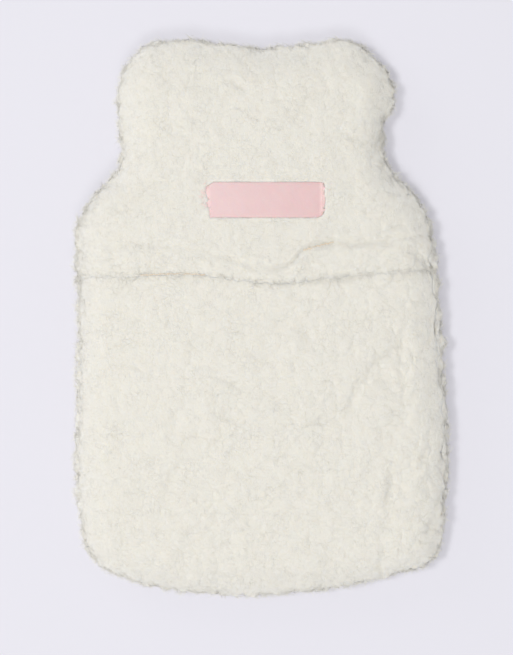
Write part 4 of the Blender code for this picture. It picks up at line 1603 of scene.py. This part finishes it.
def hem_stitches(thread, piece):
    """The starts and ends of a run of stitches along the hem, on a line that keeps an
    even rise above its edge and sways a little. Each is slanted the other way from the
    one before, and lies on a panel's face, sunk in it a little."""
    xs = np.arange(thread.first, thread.last, HEM_STITCH.spacing)
    share = (xs - thread.first) / (thread.last - thread.first)
    ys = hem_height(xs) + thread.first_rise + (thread.last_rise - thread.first_rise) * share
    ys = ys + 0.3 * np.sin(2.3 * xs)
    slant = HEM_STITCH.slant
    aside = np.sin(slant) * (-1.0) ** np.arange(len(xs))
    way = np.stack([np.full(len(xs), np.cos(slant)), aside], axis=1)
    ends = []
    for sign in (-0.5, 0.5):
        place = np.stack([xs, ys], axis=1) + sign * HEM_STITCH.length * way
        height = surface_height(piece, place)[:, None] - STITCH_SUNK
        ends.append(np.concatenate([place, height], axis=1))
    return ends


def ribbon_stitches(row):
    """The starts and ends of a row of stitches across the ribbon, each slanted the other
    way from the one before, lying on the ribbon."""
    low, high = ribbon_edges(np.array([row.x]))
    ys = np.arange(low[0] + 1.2, high[0] - 0.6, RIBBON_STITCH.spacing)
    xs = row.x + row.slope * (ys - ys.mean())
    aside, along = np.array([RIBBON_STITCH.slant, 0.94]) * (0.5 * RIBBON_STITCH.length)
    ends = []
    for sign in (-1.0, 1.0):
        x = xs + sign * aside * 0.5 * (-1.0) ** np.arange(len(ys))
        y = ys + sign * along
        ends.append(np.stack([x, y, ribbon_height(x, y)], axis=1))
    return ends


def frayed_ends(wisps, finish):
    """Loose pink threads at the ribbon's two cut ends, strewn over the pile there: more
    at the left, and fewer the further they are from the end."""
    rng = np.random.default_rng(7)
    share, right = rng.random(FRAYED), rng.random(FRAYED) < 0.3
    spread = np.abs(rng.normal(0.0, 1.0, FRAYED)) * np.where(right, 0.6, 1.1)
    x = np.where(right, RIBBON_HIGH[0] - 0.6 + spread, ribbon_left(share) + 0.6 - spread)
    y = RIBBON_LOW[1] + RIBBON_SIZE[1] * (0.15 + 0.8 * share)
    roots = np.stack([x, y, ribbon_height(x, y) + 0.25], axis=1)
    up = np.tile([0.0, 0.0, 1.0], (FRAYED, 1))
    flat, even = np.full(FRAYED, 0.1), np.zeros(FRAYED)
    return wisp_mesh("ribbon_fray", roots, up, even, wisps, rng, finish, flat)


class COVER_OT_stitches(bpy.types.Operator):
    """Sew the ribbon's two ends down, and lay the hem's thread where it shows"""

    bl_idname = "cover.stitches"
    bl_label = "Stitches"

    def execute(self, context):
        settings = context.scene.cover_ribbon
        upper = bpy.data.objects["upper_fleece"]
        tan = thread_material("hem_thread", settings.hem_thread)
        for thread in HEM_THREADS:
            name = f"hem_thread_{thread.place}"
            piece = stitch_tubes(name, *hem_stitches(thread, upper), HEM_STITCH, tan)
            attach(piece, "root")
        pink = thread_material("ribbon_thread", settings.thread)
        for row in RIBBON_SEWING:
            name = f"ribbon_thread_{row.place}"
            piece = stitch_tubes(name, *ribbon_stitches(row), RIBBON_STITCH, pink)
            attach(piece, "root")
        loose = thread_material("frayed_satin", settings.frayed)
        fray = frayed_ends(context.scene.cover_wisps, loose)
        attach(fray, "root")
        return {"FINISHED"}


# ---------------------------------------------------------------- the stage


def add_lamp(lamp, power):
    """A square soft light at a lamp's place, turned to the middle of the cover."""
    light = bpy.data.lights.new(f"{lamp.setting}_light", "AREA")
    light.size = lamp.size
    light.energy = power
    piece = bpy.data.objects.new(light.name, light)
    piece.location = lamp.place
    piece.rotation_euler = (-Vector(lamp.place)).to_track_quat("-Z", "Y").to_euler()
    bpy.context.scene.collection.objects.link(piece)


def camera_above():
    """The camera looks straight down, with the cover's head up in the picture. Its lens
    makes one pixel cover MM_PER_PIXEL at the height of the cover's widest place."""
    data = bpy.data.cameras.new("camera")
    data.sensor_width = LONG_SIDE_SENSOR
    long_side = max(PICTURE) * MM_PER_PIXEL * MM
    data.lens = LONG_SIDE_SENSOR * (CAMERA_DISTANCE - SIDE_HEIGHT * MM) / long_side
    camera = bpy.data.objects.new("camera", data)
    off_x = (0.5 * PICTURE[0] - COVER_CENTRE_PIXEL[0]) * MM_PER_PIXEL * MM
    off_y = (COVER_CENTRE_PIXEL[1] - 0.5 * PICTURE[1]) * MM_PER_PIXEL * MM
    camera.location = (off_x, off_y, CAMERA_DISTANCE)
    bpy.context.scene.collection.objects.link(camera)
    return camera


class COVER_OT_stage(bpy.types.Operator):
    """Make the pale floor, the soft lights and the camera straight above"""

    bl_idname = "cover.stage"
    bl_label = "Floor, lights and camera"

    def execute(self, context):
        settings = context.scene.cover_stage
        mesh = bpy.data.meshes.new("floor")
        corners = ((-1, -1), (1, -1), (1, 1), (-1, 1))
        places = [(x * FLOOR_HALF, y * FLOOR_HALF, 0.0) for x, y in corners]
        mesh.from_pydata(places, [], [(0, 1, 2, 3)])
        mesh.materials.append(floor_material())
        floor = bpy.data.objects.new("floor", mesh)
        context.scene.collection.objects.link(floor)
        for lamp in LAMPS:
            add_lamp(lamp, getattr(settings, lamp.setting))
        world = bpy.data.worlds.new("fill")
        world.use_nodes = True
        background = world.node_tree.nodes["Background"]
        set_inputs(background, {"Color": (0.97, 0.98, 1.0, 1.0), "Strength": settings.sky})
        context.scene.world = world
        context.scene.view_settings.view_transform = "Standard"
        context.scene.camera = camera_above()
        return {"FINISHED"}


# ---------------------------------------------------------------- panel and running


OPERATORS = (COVER_OT_panels, COVER_OT_pile, COVER_OT_ribbon, COVER_OT_stitches, COVER_OT_stage)
SETTINGS = {
    "cover_fleece": CoverFleece,
    "cover_wisps": CoverWisps,
    "cover_ribbon": CoverRibbon,
    "cover_stage": CoverStage,
}


class COVER_PT_pieces(bpy.types.Panel):
    """Lists the cover's settings and the operators that make its pieces"""

    bl_idname = "COVER_PT_pieces"
    bl_label = "Hot water bottle cover"
    bl_space_type = "VIEW_3D"
    bl_region_type = "UI"
    bl_category = "Cover"

    def draw(self, context):
        for name, group in SETTINGS.items():
            box = self.layout.box()
            for setting in group.__annotations__:
                box.prop(getattr(context.scene, name), setting)
        for operator in OPERATORS:
            self.layout.operator(operator.bl_idname)


def register():
    """Registers the settings, the operators and the panel."""
    for group in SETTINGS.values():
        bpy.utils.register_class(group)
    for name, group in SETTINGS.items():
        setattr(bpy.types.Scene, name, bpy.props.PointerProperty(type=group))
    for part in (*OPERATORS, COVER_PT_pieces):
        bpy.utils.register_class(part)


def unregister():
    """Takes all of them out again."""
    for part in (COVER_PT_pieces, *reversed(OPERATORS)):
        bpy.utils.unregister_class(part)
    for name, group in SETTINGS.items():
        delattr(bpy.types.Scene, name)
        bpy.utils.unregister_class(group)


def main():
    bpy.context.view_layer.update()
    register()
    for operator in OPERATORS:
        group, name = operator.bl_idname.split(".")
        getattr(getattr(bpy.ops, group), name)()


if __name__ == "__main__":
    main()
